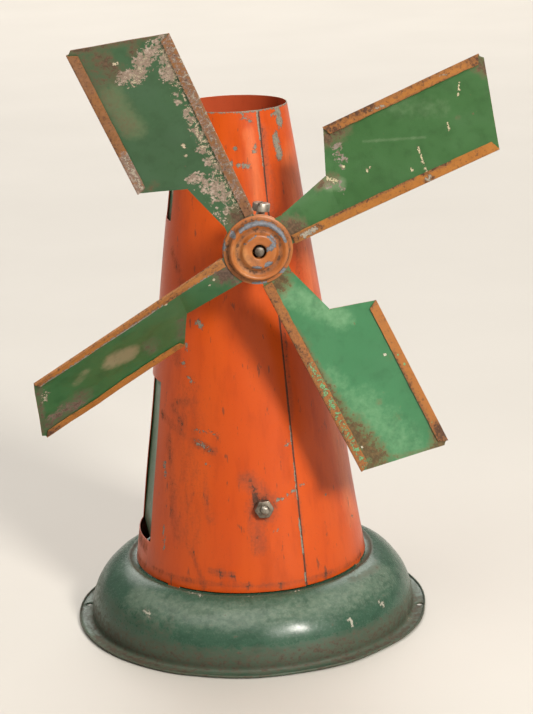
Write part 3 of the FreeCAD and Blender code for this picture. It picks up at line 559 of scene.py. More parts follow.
tower_marks = {
    "bare": [(-8, 251, -6, 251, 2.4, 0.8), (-2, 250, 3, 249.5, 1.7, 0.9), (-3, 258, -3, 258.5, 1.6, 0.75),
        (6.4, 256, 6.8, 259, 1.9, 0.72), (20, 262, 22, 252, 3.4, 0.95), (23, 274, 24, 268, 3.4, 0.95),
        (18, 273.5, 22, 272, 1.6, 0.8), (2, 274, 5, 272, 2.2, 0.6), (-40, 276.5, 45, 276.5, 1.0, 0.8),
        (8.9, 276, 9.9, 262, 0.8, 1.0), (10.1, 258, 10.6, 248, 0.6, 0.8),
        (16.6, 118, 17.0, 108, 0.7, 0.75), (17.5, 98, 18.4, 78, 0.7, 0.8), (18.6, 69, 20, 50, 0.9, 0.92),
        (20.2, 40, 20.5, 34, 1.0, 0.8), (-28.4, 171, -27, 170, 2.6, 0.95),
        (-36.5, 160, -36, 157, 1.7, 0.8), (-39, 150, -38.4, 149, 1.8, 0.8),
        (-36, 143, -34, 140.5, 1.7, 0.8), (-34, 116, -20, 115.5, 1.2, 0.75),
        (-33, 110, -26, 107, 2.6, 0.62), (14, 108.5, 14.4, 108, 1.6, 0.9), (7, 80, 7.4, 80, 1.3, 1.0),
        (9.5, 80.5, 10, 80, 1.3, 1.0), (12.5, 82, 12.7, 82.4, 1.3, 1.0), (16, 83.5, 16.4, 83.6, 1.3, 1.0),
        (21, 85, 23.5, 85.5, 1.4, 0.65), (5.5, 64, 6.2, 64, 1.3, 0.85), (37, 77, 37.4, 76, 1.3, 0.8),
        (11.5, 66.5, 12, 66.6, 1.0, 0.7), (-57, 96, -56, 88, 1.6, 0.8), (-60, 62, -59, 50, 1.4, 0.8),
        (-44, 176, -44.4, 172, 1.3, 0.7), (-30, 100, -27, 98, 1.0, 0.7), (62, 58, 63, 58, 1.6, 0.75),
        (100, 180, 104, 170, 3, 0.8), (-110, 90, -108, 96, 2.4, 0.8), (150, 110, 154, 104, 2.6, 0.8),
        (-66, 252, -60, 250, 2.4, 0.8), (70, 230, 72, 226, 2.2, 0.8), (-125, 150, -122, 140, 2.2, 0.8),
        (120, 60, 126, 58, 2.4, 0.8)],
    # Right of the lap, the narrow stroke from (12, 262) is grime, and the wide soft stroke from (13, 266) to
    # (17, 200) is painted shade.
    "rust": [(9.9, 276.5, 20.9, 33, 0.9, 1.5), (12, 262, 19, 120, 2.4, 0.5), (13, 266, 17, 200, 6, 0.42),
        (18, 84, 20, 60, 2.6, 0.45), (-44, 129, -34, 131, 4.0, 0.66), (-48, 126, -42, 118, 4, 0.64),
        # The long soft stroke down the left flank, from (-36, 136) to (-42, 60), is painted shade.
        (-36, 136, -42, 60, 13, 0.36), (-34, 110, -24, 106, 3.4, 0.8), (-7, 92, -2, 85, 7, 0.72),
        (0, 78, 0, 77, 11, 0.85), (-2, 80, 0, 78, 7, 1.1), (-5, 68, -3, 55, 6, 0.6),
        (-30, 95, -28, 70, 4, 0.45), (-70, 38, 70, 35, 2.2, 0.62), (-30, 44, -18, 42, 3, 0.7),
        (-40, 52, -34, 36, 2.4, 0.6), (-52, 110, -50, 60, 4.5, 0.5), (30, 205, 31, 190, 5, 0.5),
        (-58, 120, -40, 112, 3.5, 0.6), (-38, 190, -44, 150, 5, 0.55), (-46, 205, -40, 196, 4, 0.5),
        (90, 70, 140, 66, 6, 0.7), (120, 240, 124, 200, 5, 0.6), (-150, 50, -80, 46, 5, 0.7),
        (80, 150, 86, 120, 6, 0.6), (-170, 36, -80, 36, 2.6, 0.6), (80, 36, 190, 36, 2.6, 0.6)],
    # The second fade_and_sheen stroke, from (4, 266) to (11, 190), is a painted highlight.
    "fade_and_sheen": [(30, 250, 62, 60, 12, 0.65), (4, 266, 11, 190, 5, 0.7), (-90, 230, -140, 80, 16, 0.5)],
}
lay_wear_and_painted_light(tower, on_wall, tower_marks)


def shade_smooth(piece, sharpest):
    """Smooths a piece's shading, but not across edges sharper than an angle in degrees."""
    start_clean()
    piece.select_set(True)
    bpy.context.view_layer.objects.active = piece
    bpy.ops.object.shade_smooth_by_angle(angle=math.radians(sharpest))


shade_smooth(tower, 35)
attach(tower, "stand")
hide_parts("tower_shell")


# ---------------------------------------------------------------- door and window panels
# Two flat offcuts of green enamelled tin sprung in behind the openings, their corners soldered
# to the inside of the wall. Their faces are dished a little by the spring.
def side_panel(name, node, sill, high, low_half, high_half):
    """One flat panel just behind its opening, from its CAD node's box and the opening's size."""
    low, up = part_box(node)
    thick, margin = 0.4 * MM, 1.5 * MM
    start_clean()
    bpy.ops.mesh.primitive_grid_add(x_subdivisions=24, y_subdivisions=60, size=1)
    panel = bpy.context.object
    panel.name = panel.data.name = name
    for vertex in panel.data.vertices:
        side, share = vertex.co.x * 2, vertex.co.y + 0.5
        half = (low_half + (high_half - low_half) * share) + margin
        depth = (low.x + (up.x - low.x - thick) * share) + thick / 2
        dish = (1 - side * side) * (1 - (2 * share - 1) ** 2) * 0.7 * MM
        dish += noise.noise(Vector((side, share * 4, 3))) * 0.15 * MM
        vertex.co = (depth + dish, side * half, low.z + (up.z - low.z) * share)
    face_out(panel, (low.x, 0, (low.z + up.z) / 2), (-1, 0, 0))
    apply_modifier(panel, "SOLIDIFY", thickness=thick, offset=0.0)
    apply_modifier(panel, "BEVEL", width=0.12 * MM, segments=2, limit_method="ANGLE")
    foot, head, wide, narrow = sill / MM, (sill + high) / MM, low_half / MM, high_half / MM
    lay_wear_and_painted_light(panel, lambda vertex: (vertex.co.y / MM, vertex.co.z / MM), {
        "bare": [(-wide, foot, -narrow, head, 1.2, 0.7), (5, foot + 12, 6, foot + 13, 2.0, 0.8)],
        "rust": [(-wide, foot + 2, wide, foot + 2, 6, 0.75), (8, head - 4, -8, head - 3, 4, 0.6)],
        "fade_and_sheen": [(-6, foot + 20, 4, head - 10, 8, 0.6)]})
    panel.data.materials.append(panel_paint)
    for face in panel.data.polygons:
        face.use_smooth = True
    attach(panel, "stand")
    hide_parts(node)


# Mid green enamel, thinner and more chalky than the base's.
panel_paint = enamel("green_chalky_enamel_panel", (
    "#36583c", "#456a4a", "#5c7a60", "#b9b7a6", "#5a4733", "#8b8c78"), 0.42, (1, 1, 0.5), 0.02)
side_panel("door_leaf", "door_panel", *doorway)
side_panel("window_leaf", "window_panel", *window)


# ---------------------------------------------------------------- sails
# Four sails snipped from one pattern of tin, green on the front and ochre on the back. The two
# long edges are folded over to the front, so the hems show the ochre. Each root is clamped flat
# in the hub and each blade is twisted out of its plane by hand, so no two stand alike.
# Sizes of the flat pattern: x runs out along the straight edge from the root's bend, y across.
steel = 0.45 * MM
root_bend, spar_offset = 17.5 * MM, 5.7 * MM
root_wide, neck_long, neck_wide = 15.3 * MM, 26.6 * MM, 23.4 * MM
blade_wide, tip, far_tip, clip = 45.4 * MM, 108.2 * MM, 119.2 * MM, 2.5 * MM
far_start, root_in, hem = 34.3 * MM, -8.6 * MM, 4.3 * MM


def slice_off(start, end, limit=lambda co, face: True):
    """Trims away what lies to the right of a line across the flat sheet, on the faces that pass."""
    pick("faces", limit)
    along = Vector(end) - Vector(start)
    bpy.ops.mesh.bisect(plane_co=(*start, 0), plane_no=(along.y, -along.x, 0), clear_outer=True,
                        threshold=1e-6)


def fold_over(test, inward, mitres):
    """Folds an edge to the front and back over the sheet, then snips the fold's two ends."""
    pick("edges", test)
    round_bend = ((-0.26, 0.12), (-0.10, 0.25), (0.0, 0.11), (0.10, 0.25), (0.26, 0.12))
    for sideways, forward in round_bend:
        bpy.ops.mesh.extrude_edges_move(TRANSFORM_OT_translate={
            "value": (0, sideways * inward * MM, forward * MM)})
    strips = 6
    for step in range(strips):
        bpy.ops.mesh.extrude_edges_move(TRANSFORM_OT_translate={"value": (0, inward * hem / strips, 0)})
    for start, end in mitres:
        slice_off(start, end, lambda co, face: co.z > 0.3 * MM and abs(co.y - start[1]) < hem + MM)


start_clean()
bpy.ops.mesh.primitive_grid_add(x_subdivisions=170, y_subdivisions=60, size=1)
blank = bpy.context.object
blank.name = blank.data.name = "sail_blank"
edit(blank)
bpy.ops.mesh.select_all(action="SELECT")
bpy.ops.transform.resize(value=(far_tip - root_in, blade_wide, 1))
bpy.ops.transform.translate(value=((far_tip + root_in) / 2, blade_wide / 2, 0))
for place in (0, neck_long):
    bpy.ops.mesh.select_all(action="SELECT")
    bpy.ops.mesh.bisect(plane_co=(place, 0, 0), plane_no=(1, 0, 0), threshold=1e-6)
slice_off((tip, 0), (far_tip - clip / 3, blade_wide - clip))
slice_off((far_tip - clip / 3, blade_wide - clip), (far_tip - clip, blade_wide))
slice_off((0, root_wide), (root_in, root_wide), lambda co, face: co.x < 0)
slice_off((neck_long, neck_wide), (0, root_wide), lambda co, face: 0 < co.x < neck_long)
slice_off((far_start, blade_wide), (neck_long, neck_wide), lambda co, face: co.x > neck_long)
fold_over(lambda co, edge: len(edge.link_faces) == 1 and abs(co.y) < 1e-6 and co.x > 0, 1,
          [((tip, 0), (tip - hem / 2, hem))])
fold_over(lambda co, edge: len(edge.link_faces) == 1 and abs(co.y - blade_wide) < 1e-6 and co.z < 1e-6, -1,
          [((far_start, blade_wide), (far_start + hem / 2, blade_wide - hem)),
           ((far_tip - hem, blade_wide - hem), (far_tip - clip, blade_wide))])
bpy.ops.object.mode_set(mode="OBJECT")
# The UV map keeps each point's place on the sheet as it lay before its edges were folded.
flat_map = blank.data.uv_layers[0].data
for loop in blank.data.loops:
    x, y, z = blank.data.vertices[loop.vertex_index].co
    if z > 0.4 * MM:
        y = -y if y < blade_wide / 2 else 2 * blade_wide - y
    flat_map[loop.index].uv = (x, y)
face_out(blank, (60 * MM, 20 * MM, 0), (0, 0, 1))


def make_sail(name, node, direction, pitch, lean, marks, paints, ripple):
    """Copies the blank, dents and wears it, sets it in the hub at its direction round the axle, and
    bends its blade forward by the lean and about its own length by the pitch, in degrees."""
    sail = blank.copy()
    sail.data = blank.data.copy()
    sail.name = sail.data.name = name
    scene.collection.objects.link(sail)
    uv = sail.data.uv_layers[0].data
    sheet_place = {loop.vertex_index: uv[loop.index].uv.copy() for loop in sail.data.loops}
    for vertex in sail.data.vertices:
        x, y, z = vertex.co
        v = sheet_place[vertex.index][1]
        free = min(1.0, max(0.0, x / neck_long))
        stiff = min(1.0, abs(v) / (8 * MM)) * min(1.0, abs(blade_wide - v) / (8 * MM) + 0.35)
        swell = noise.noise(Vector((x, y, ripple)) / (26 * MM)) * 0.9 + noise.noise(
            Vector((x, y, ripple * 2)) / (9 * MM)) * 0.25
        vertex.co.z += swell * stiff * free * MM
        if z > 0.4 * MM:
            vertex.co.z += noise.noise(Vector((x / (7 * MM), ripple, 0))) * 0.16 * MM
            edge_wave = noise.noise(Vector((x / (5 * MM), ripple, 7))) * 0.25 * MM
            depth = min(1.0, max(0.0, (-v if v < blade_wide / 2 else v - blade_wide) / hem))
            vertex.co.y += edge_wave * depth
    lay_wear_and_painted_light(sail, lambda vertex: [part / MM for part in sheet_place[vertex.index]],
             {**marks, "rust": marks["rust"] + [root_grime]})
    for paint in paints:
        sail.data.materials.append(paint)
    apply_modifier(sail, "SOLIDIFY", thickness=steel, offset=0.0, material_offset=1, material_offset_rim=1,
                   use_even_offset=True)
    held = hub_plane @ Matrix.Rotation(math.radians(direction), 4, "Z") @ Matrix.Translation(
        (root_bend, -spar_offset, 0))
    bent = held @ Matrix.Rotation(math.radians(lean), 4, (0, -1, 0)) @ Matrix.Rotation(
        math.radians(pitch), 4, "X")
    for vertex in sail.data.vertices:
        x, y, z = vertex.co
        if x <= 0:
            vertex.co = held @ Vector((x, y, z))
            continue
        share = min(1.0, x / neck_long)
        wide = root_wide + (neck_wide - root_wide) * share
        at_root = held @ Vector((0, y / wide * root_wide, z))
        at_blade = bent @ Vector((neck_long, y / wide * neck_wide, z))
        vertex.co = bent @ Vector((x, y, z)) if share == 1.0 else at_root.lerp(at_blade, share)
    shade_smooth(sail, 40)
    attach(sail, "rotor")
    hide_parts(node)


# The roots lie on the back of the hub's face disc. Local Z runs out to the front there.
hub_plane = Matrix.Translation((0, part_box("hub_face_disc")[1].y + steel / 2, axle_height)) @ Matrix.Rotation(
    math.pi / 2, 4, "X")
# Grime that collects where every root leaves the hub.
root_grime = (-9, 7, 2, 7, 9.5, 1.05)


# Green front enamel, one tone for each sail as weather has left it, chipped to cream undercoat.
# Ochre back enamel, seen on the hems: warm, dulled and freckled with rust.
def sail_paints(letter, green_tones, ochre_tones, ochre_specks):
    """The front and back enamel of one sail."""
    return (enamel("green_sail_enamel_" + letter, green_tones, 0.33),
            enamel("ochre_sail_enamel_" + letter, ochre_tones, 0.40, (2, 2, 2), ochre_specks))


make_sail("blade_upper_right", "sail_upper_right", 25.0, -27.1, 14.4, {
    "bare": [(36, 24, 36.3, 24, 1.2, 0.95), (46, 17, 46, 17.4, 1.1, 0.8), (48, 18, 48, 18.4, 0.9, 0.8),
        (72, 0, 73, 17, 0.9, 0.72), (100, 31, 103, 37, 0.8, 0.75), (90, 18, 90.5, 22, 0.9, 0.75),
        (66, 8, 66, 8.6, 1.2, 0.75), (27, 22, 30, 19, 2.0, 0.7), (5, -1.5, 12, -2, 2.0, 0.9),
        (71, -1, 73, -1.6, 1.4, 0.75), (60, 48, 66, 48.4, 1.3, 0.65), (96, 47, 99, 47.5, 1.2, 0.6)],
    "rust": [(28, 43, 40, 42, 10, 0.9), (40, 44, 60, 46, 4.5, 0.9), (60, 45.5, 110, 45.5, 2.2, 0.62),
        (113, 45, 117, 38, 6, 0.9), (22, 21, 30, 21, 4.5, 0.8), (-8, 4, -8, 14, 5, 0.7),
        (96, 22, 96, 22, 2, 0.5), (84, -4.2, 70, -4.2, 2.0, 0.9), (0, -2, 14, -2, 3.0, 0.85),
        (20, -4, 66, -4.2, 1.7, 0.8), (70, -0.5, 74, -0.5, 1.8, 0.8), (34, 47, 42, 50, 3.5, 0.9),
        (116, 47, 112, 50, 3.4, 0.85), (44, 49.8, 110, 49.8, 1.6, 0.7)],
    "scab": [(37, 34, 36.5, 26, 4.0, 0.55), (26, 20, 31, 15, 4, 0.5)],
    # The last fade_and_sheen stroke, full strength at the neck's bend from (27, 19) to (31, 17), is a painted
    # highlight.
    "fade_and_sheen": [(50, 31, 78, 20, 1.2, 0.6), (110, 4, 118, 40, 5, 0.25), (90, 30, 70, 40, 9, 0.4),
        (27, 19, 31, 17, 5, 1.0)],
}, sail_paints("a", ("#385d33", "#41673d", "#627a58", "#cdc3a0", "#67503a", "#8a8078"),
               ("#9a622b", "#a56c30", "#a5743a", "#a59c8c", "#5e3d27", "#8d7a68"), 0.09), 1.0)
make_sail("blade_upper_left", "sail_upper_left", 113.6, -10.5, 21.1, {
    "bare": [(8, 4, 102, 3, 8.0, 0.5), (60, 7, 45, 7, 5.0, 0.52), (100, 14, 92, 24, 7, 0.4),
        (49, 16, 50.5, 16, 1.3, 0.95), (44, 17, 44.5, 17, 0.9, 0.8), (104, 27, 104, 28, 1.6, 0.8),
        (20, -2, 104, -3, 3.0, 0.36), (35, 48, 56, 48, 2.6, 0.5)],
    "rust": [(110, 33, 98, 29, 7.5, 0.85), (110, 2, 118, 43, 3.8, 0.85), (36, 43, 60, 44.5, 3.2, 0.75),
        (96, 40, 70, 36, 8, 0.5), (112, 40, 98, 38, 8, 0.6), (60, 44.5, 112, 44.5, 2.6, 0.6),
        (106, 18, 112, 14, 4, 0.7), (34, 40, 36, 36, 3, 0.6), (0, -2, 108, -2.2, 4.4, 0.68),
        (58, 46, 118, 48, 4.0, 0.5)],
    "scab": [(103, 12, 98, 18, 5.5, 1.0), (94, 21, 96, 27, 5.5, 1.0), (97, 4, 88, 8, 5.5, 0.95),
        (106, 3, 104, 9, 5, 0.85), (76, 10, 74, 9, 3.4, 0.8), (66, 8, 62, 7, 3.4, 0.8),
        (55, 7, 52, 6, 3.6, 0.85), (45, 9, 43, 8, 3.6, 0.85), (24, 12, 18, 10, 9, 0.72),
        (31, 19, 29, 15, 4.5, 0.8), (36, 8, 32, 5, 4.5, 0.7), (0, 6, 5, 12, 8, 0.6),
        (12, -2, 106, -2.4, 4.2, 0.58), (34, 47.5, 56, 47.8, 4.5, 0.95)],
    "fade_and_sheen": [(90, 36, 68, 33, 9, 0.8)],
}, sail_paints("b", ("#345636", "#3c5b40", "#586a4a", "#d6c9ae", "#66503d", "#b3a396"),
               ("#93602f", "#82604a", "#9c6c42", "#c9beac", "#5e4030", "#ab978b"), 0.10), 2.0)
make_sail("blade_lower_left", "sail_lower_left", 208.3, -41.7, 7.7, {
    "bare": [(106, 13, 108, 18, 3.5, 0.55), (34, 6, 34.4, 6, 1.1, 0.9), (8, 8, 8.4, 8, 1.1, 0.9),
        (11, 10, 11.3, 10, 0.9, 0.85), (36, -4.6, 108, -4.6, 2.4, 0.72), (6, -4.4, 24, -4.4, 1.6, 0.62)],
    "rust": [(50, 26, 50, 33, 6.5, 0.6), (93, 34, 112, 38, 10, 0.75), (31, 26, 34, 38, 4.5, 0.62),
        (106, 2, 117, 40, 3.0, 0.7), (-8, 4, 0, 12, 6, 0.8), (0, 0.5, 108, 0.5, 2.0, 0.6),
        (60, 43, 110, 44, 3.0, 0.5), (22, -3.4, 62, -3.4, 2.8, 0.7), (0, -2, 10, -2, 4, 0.6),
        (100, -2, 108, -2, 3, 0.7), (34, 47, 40, 48, 2.6, 0.6), (110, 47, 117, 48, 3.6, 0.9)],
    "scab": [(96, 36, 108, 34, 6, 0.62)],
    "fade_and_sheen": [(62, 25, 69, 22, 9, 1.0), (84, 16, 90, 20, 5, 0.5)],
}, sail_paints("c", ("#2c5a34", "#346038", "#7d785c", "#c3baa4", "#644f42", "#7a6660"),
               ("#9c642c", "#a46a32", "#a87438", "#9b948c", "#5e3d2a", "#8d7a68"), 0.09), 3.0)
make_sail("blade_lower_right", "sail_lower_right", 294.8, -5.0, 1.9, {
    "bare": [(61, 37.3, 61.2, 37.3, 1.1, 1.0), (97, 5, 97.5, 5, 1.6, 0.6), (46, -2.4, 106, -2.4, 3.0, 0.5),
        (64, 48, 64.3, 48, 1.0, 0.8), (70, 47, 70, 47.4, 0.9, 0.8), (104, 48, 104.4, 48, 1.1, 0.8)],
    "rust": [(4, 1, 30, 1.5, 2.8, 0.85), (28, 2, 60, 3.5, 4.8, 0.9), (58, 3, 86, 4.5, 6.5, 0.9),
        (86, 5, 107, 9, 11, 1.0), (110, 46, 118, 41, 8.5, 1.0), (63, 39, 63.5, 39, 3.0, 0.42),
        (81, 23.6, 81.2, 23.6, 2.8, 0.5), (38, 6, 38, 6, 3.6, 0.42), (92, 28, 93, 29, 3, 0.42),
        (107, 8, 118, 40, 2.2, 0.6), (-8, 4, -2, 12, 5, 0.8), (-4, 0, 0, 15, 4, 0.75),
        (-4, -2, 108, -2, 4.0, 0.62), (34, -1, 46, -1, 3, 0.8), (62, 49.5, 112, 49.5, 1.8, 0.7),
        (34, 46, 36, 50, 2.4, 0.7), (112, 47, 117, 49, 3.4, 0.95)],
    "scab": [(112, 45, 117, 43, 5, 0.85)],
    # The last fade_and_sheen stroke, across the neck, is a painted highlight; the pale green tone #6c9870 paints
    # it and the real fading towards the tip.
    "fade_and_sheen": [(56, 9, 80, 14, 8, 0.45), (78, 15, 112, 26, 16, 0.5), (10, 9, 34, 27, 9, 0.62)],
}, sail_paints("d", ("#376f48", "#3d764e", "#6c9870", "#e3e0cc", "#6a5636", "#5a3f33"),
               ("#9d632c", "#9a5f2c", "#a8702f", "#7fb884", "#60402b", "#8d7a68"), 0.09), 4.0)
bpy.data.objects.remove(blank)


# ---------------------------------------------------------------- hub
# A pressed disc with a raised ring and a boss clamps the four sail roots against a flat plate,
# both enamelled ochre. A turned collar behind them is locked to the axle by a slotted screw.
# The ring's crown and the rims are rubbed to grey metal.
def set_at(piece, place):
    """Moves a finished piece into its place, leaves its object at the origin and smooths it."""
    piece.data.transform(place)
    shade_smooth(piece, 38)


def facing_front(depth):
    """The place on the axle's line, with local Z out to the front, for a depth along Y."""
    return Matrix.Translation((0, depth, axle_height)) @ Matrix.Rotation(math.pi / 2, 4, "X")


def rounds(*pairs):
    """Ring sizes given in millimetres."""
    return [(radius * MM, height * MM) for radius, height in pairs]


face_disc = draw_up("hub_face", rounds(
    (16.95, 0.3), (16.98, 0.55), (16.7, 0.78), (16.0, 0.86), (15.4, 1.0), (15.0, 1.6), (14.7, 2.7),
    (14.35, 3.7), (13.95, 4.25), (13.45, 4.42), (12.95, 4.3), (12.4, 3.85), (11.8, 3.2), (11.2, 2.85),
    (10.5, 2.72), (9.8, 2.8), (9.25, 3.1), (8.85, 3.8), (8.55, 4.8), (8.2, 5.45), (7.7, 5.75), (7.0, 5.78),
    (6.2, 5.6), (5.2, 5.45), (4.3, 5.35), (3.75, 5.2), (3.45, 4.85), (3.4, 4.2)), 128)
face_out(face_disc, (0, 7 * MM, 5.8 * MM), (0, 0, 1))
for vertex in face_disc.data.vertices:
    vertex.co.z += noise.noise(vertex.co / (6 * MM)) * 0.12 * MM
apply_modifier(face_disc, "SOLIDIFY", thickness=0.5 * MM, offset=-1.0, use_even_offset=True)


def polar(turn, radius):
    """A point on a disc from its angle in degrees and its radius."""
    return radius * math.cos(math.radians(turn)), radius * math.sin(math.radians(turn))


hub_marks = {
    "bare": [(*polar(turn, 13.6), *polar(turn + 8, 13.6), 1.9 if 30 < turn < 110 else 1.4, 0.95)
             for turn in range(18, 128, 8)] + [
        (-12.4, 8.2, -12.2, 9.2, 2.0, 0.9), (11.4, -11.4, 12.2, -10.6, 2.1, 0.9),
        (-3, -16.4, 3, -16.6, 1.5, 0.9), (4.6, 1.0, 7.4, 3.2, 2.0, 0.85), (3.2, -6.6, 5, -6.0, 2.0, 0.9),
        (-3, -7.4, 0, -7.8, 1.6, 0.75),
        (-16.6, 1, -16.4, 5, 1.0, 0.8), (8, 5, 6, 7, 1.2, 0.75), (*polar(60, 8.3), *polar(30, 8.3), 0.9, 0.8),
        (*polar(100, 8.3), *polar(150, 8.3), 0.7, 0.7)],
    "rust": [(*polar(turn, ring), *polar(turn + 15, ring), reach, strength)
             for ring, reach, strength in ((10.7, 1.7, 0.8), (15.3, 1.4, 0.75))
             for turn in range(0, 360, 15)] + [
        (1.6, 9.2, 2.6, 9.2, 1.8, 0.8), (-16, -2, -15, 4, 2.2, 0.75), (-13, -10, -10, -13, 3, 0.7),
        (*polar(200, 6), *polar(260, 6), 2, 0.6), (14, 8, 16, 3, 2.4, 0.65), (0, 0, 0, 1, 4.6, 0.8)],
    "fade_and_sheen": [(-10, 2, -6, -9, 5, 0.8)]}


def on_disc(vertex):
    """Flat place on a disc that faces up, in millimetres."""
    return vertex.co.x / MM, vertex.co.y / MM


lay_wear_and_painted_light(face_disc, on_disc, hub_marks)
# Ochre stoving enamel over zinc-grey metal: warm and half matt, its edges rubbed through to grey.
face_disc.data.materials.append(enamel("ochre_hub_enamel", (
    "#a05c2b", "#a96732", "#b67a48", "#7e8188", "#5f402a", "#94806a"), 0.38, (1.6, 1.6, 1.6), 0.03, 0.8))
set_at(face_disc, facing_front(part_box("hub_face_disc")[1].y))
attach(face_disc, "rotor")
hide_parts("hub_face_disc")

back_plate = draw_up("hub_plate", rounds(
    (2.45, 0), (17.0, 0), (17.3, 0.15), (17.3, 0.45), (17.0, 0.6), (2.45, 0.6), (2.45, 0)), 96)
lay_wear_and_painted_light(back_plate, on_disc, {
    "bare": [(*polar(turn, 17.2), *polar(turn + 20, 17.2), 1.2, 0.62) for turn in range(120, 300, 20)],
    "rust": [(0, 0, 0, 1, 9, 0.75)]})
# The same enamel, duller, as the plate faces the tower.
back_plate.data.materials.append(enamel("ochre_plate_enamel", (
    "#a5622e", "#a96a36", "#b98548", "#8b8a88", "#6f4428", "#94806a"), 0.42, (1, 1, 1), 0.03, 0.8))
set_at(back_plate, facing_front(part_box("hub_back_plate")[1].y))
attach(back_plate, "rotor")
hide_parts("hub_back_plate")


def metal(name, bright, dull, rust, smooth, rust_share):
    """Bare metal gone dull: fine mottling, a patchy dark film and freckles of rust."""
    material, tree = new_material(name)
    place = add_node(tree, "ShaderNodeTexCoord", None, "Object")
    film, grit = [
        add_node(tree, "ShaderNodeTexNoise", {
            "Vector": place, "Scale": 1 / (grain * MM), "Detail": detail}, "Fac")
        for grain, detail in ((3.5, 5.0), (0.7, 3.0))]
    spread = add_node(tree, "ShaderNodeMapRange", {"Value": film, "From Min": 0.35, "From Max": 0.65}, "Result")
    toned = add_node(tree, "ShaderNodeMix", {
        "Factor": spread, "A": linear(bright), "B": linear(dull)}, "Result", data_type="RGBA")
    freckle = add_node(tree, "ShaderNodeMapRange", {
        "Value": grit, "From Min": 0.72 - rust_share, "From Max": 0.80 - rust_share}, "Result",
        interpolation_type="SMOOTHSTEP")
    coat = add_node(tree, "ShaderNodeMix", {"Factor": freckle, "A": toned, "B": linear(rust)}, "Result",
                    data_type="RGBA")
    bare = add_node(tree, "ShaderNodeMapRange", {"Value": freckle, "To Min": 0.9, "To Max": 0.1}, "Result")
    matt = add_node(tree, "ShaderNodeMapRange", {
        "Value": film, "To Min": smooth - 0.12, "To Max": smooth + 0.28}, "Result")
    bump = add_node(tree, "ShaderNodeBump", {"Height": grit, "Strength": 0.25, "Distance": 0.08 * MM}, "Normal")
    shader = add_node(tree, "ShaderNodeBsdfPrincipled", {
        "Base Color": coat, "Metallic": bare, "Roughness": matt, "Normal": bump}, "BSDF")
    add_node(tree, "ShaderNodeOutputMaterial", {"Surface": shader})
    return material


collar = draw_up("hub_collar_turned", rounds(
    (2.4, 0), (9.6, 0), (10.0, 0.4), (10.0, 3.8), (9.85, 4.0), (10.0, 4.2), (10.0, 8.6), (9.6, 9.0), (2.4, 9.0),
    (2.4, 0)), 72)
# Turned mild steel, greyed and lightly freckled.
collar.data.materials.append(metal("turned_mild_steel", "#9b958b", "#6d665d", "#6b4a33", 0.38, 0.10))
set_at(collar, facing_front(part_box("hub_collar")[1].y))
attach(collar, "rotor")
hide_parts("hub_collar")


def slotted_screw(name, node, body, place, head, head_high, shank_long, slot_turn, finish, lead=()):
    """A cheese-head screw turned from bar, its slot sawn across, with its sizes in millimetres.
    Local Z runs out of the head, and the lead is the profile of its threaded tip."""
    shank, top = 4.17 / 2, shank_long + head_high
    rings = [*(lead or ((shank - 0.3, 0), (shank, 0.3))), (shank, shank_long), (head / 2 - 0.25, shank_long),
             (head / 2, shank_long + 0.25), (head / 2, top - 0.55), (head / 2 - 0.22, top - 0.18),
             (head / 2 - 0.75, top), (head / 4, top + 0.04)]
    screw = draw_up(name, rounds(*rings), 48, (True, True))
    start_clean()
    bpy.ops.mesh.primitive_cube_add(size=1, rotation=(0, 0, math.radians(slot_turn)), location=(0, 0, top * MM))
    saw = bpy.context.object
    slot_wide, saw_high = 1.2 * MM, 3.2 * MM
    saw.scale = (head * 2 * MM, slot_wide, saw_high)
    bpy.ops.object.transform_apply(location=True, rotation=True, scale=True)
    cut_away(screw, saw)
    screw.data.materials.append(finish)
    set_at(screw, place)
    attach(screw, body)
    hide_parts(node)


# Zinc-plated screw steel, dulled to a warm silver.
screw_steel = metal("dull_plated_screw_steel", "#b5ada0", "#7d7468", "#6a5443", 0.34, 0.06)
collar_middle = (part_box("hub_collar")[0].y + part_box("hub_collar")[1].y) / 2
slotted_screw("hub_lock_screw", "hub_set_screw", "rotor",
              Matrix.Translation((0, collar_middle, axle_height)) @ Matrix.Rotation(math.radians(9), 4, "Y")
              @ Matrix.Translation((0, 0, 2.4 * MM)), 8.6, 4.0, 15.8, 62, screw_steel)


# ---------------------------------------------------------------- axle, bearings and washers
# A plain steel rod runs through two short tubes soldered into the wall on small saddles, with a
# loose washer at each end. The rod's front end stands just proud of the hub, filed round.
axle_low, axle_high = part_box("axle")
rod_long = (axle_high.y - axle_low.y) / MM
rod = draw_up("axle_rod", rounds(
    (1.7, 0), (2.2, 0.2), (2.38, 0.5), (2.38, 40), (2.38, 80), (2.38, rod_long - 0.9), (2.25, rod_long - 0.4),
    (1.8, rod_long - 0.1), (0.9, rod_long)), 48, (True, True))
# Cold-drawn steel rod, bright where it is rubbed and brown-grey elsewhere.
rod.data.materials.append(metal("cold_drawn_steel", "#8d8478", "#584f46", "#4f3a2b", 0.52, 0.16))
set_at(rod, facing_front(axle_high.y))
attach(rod, "rotor")
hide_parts("axle")

# The bearing tubes are brass gone brown, with a soft shine where they rub. The washers and the
# tie bolt's spacer tube are plain stamped steel, dull grey with brown freckles.
for finish, names in (
        (metal("aged_brass_tube", "#a98a54", "#75603c", "#4e3b26", 0.40, 0.08),
         ("front_bearing", "rear_bearing")),
        (metal("washer_steel", "#98928a", "#6b645b", "#674833", 0.42, 0.10),
         ("front_washer", "rear_washer", "tie_spacer_tube"))):
    for name in names:
        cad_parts[name].data.materials.clear()
        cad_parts[name].data.materials.append(finish)


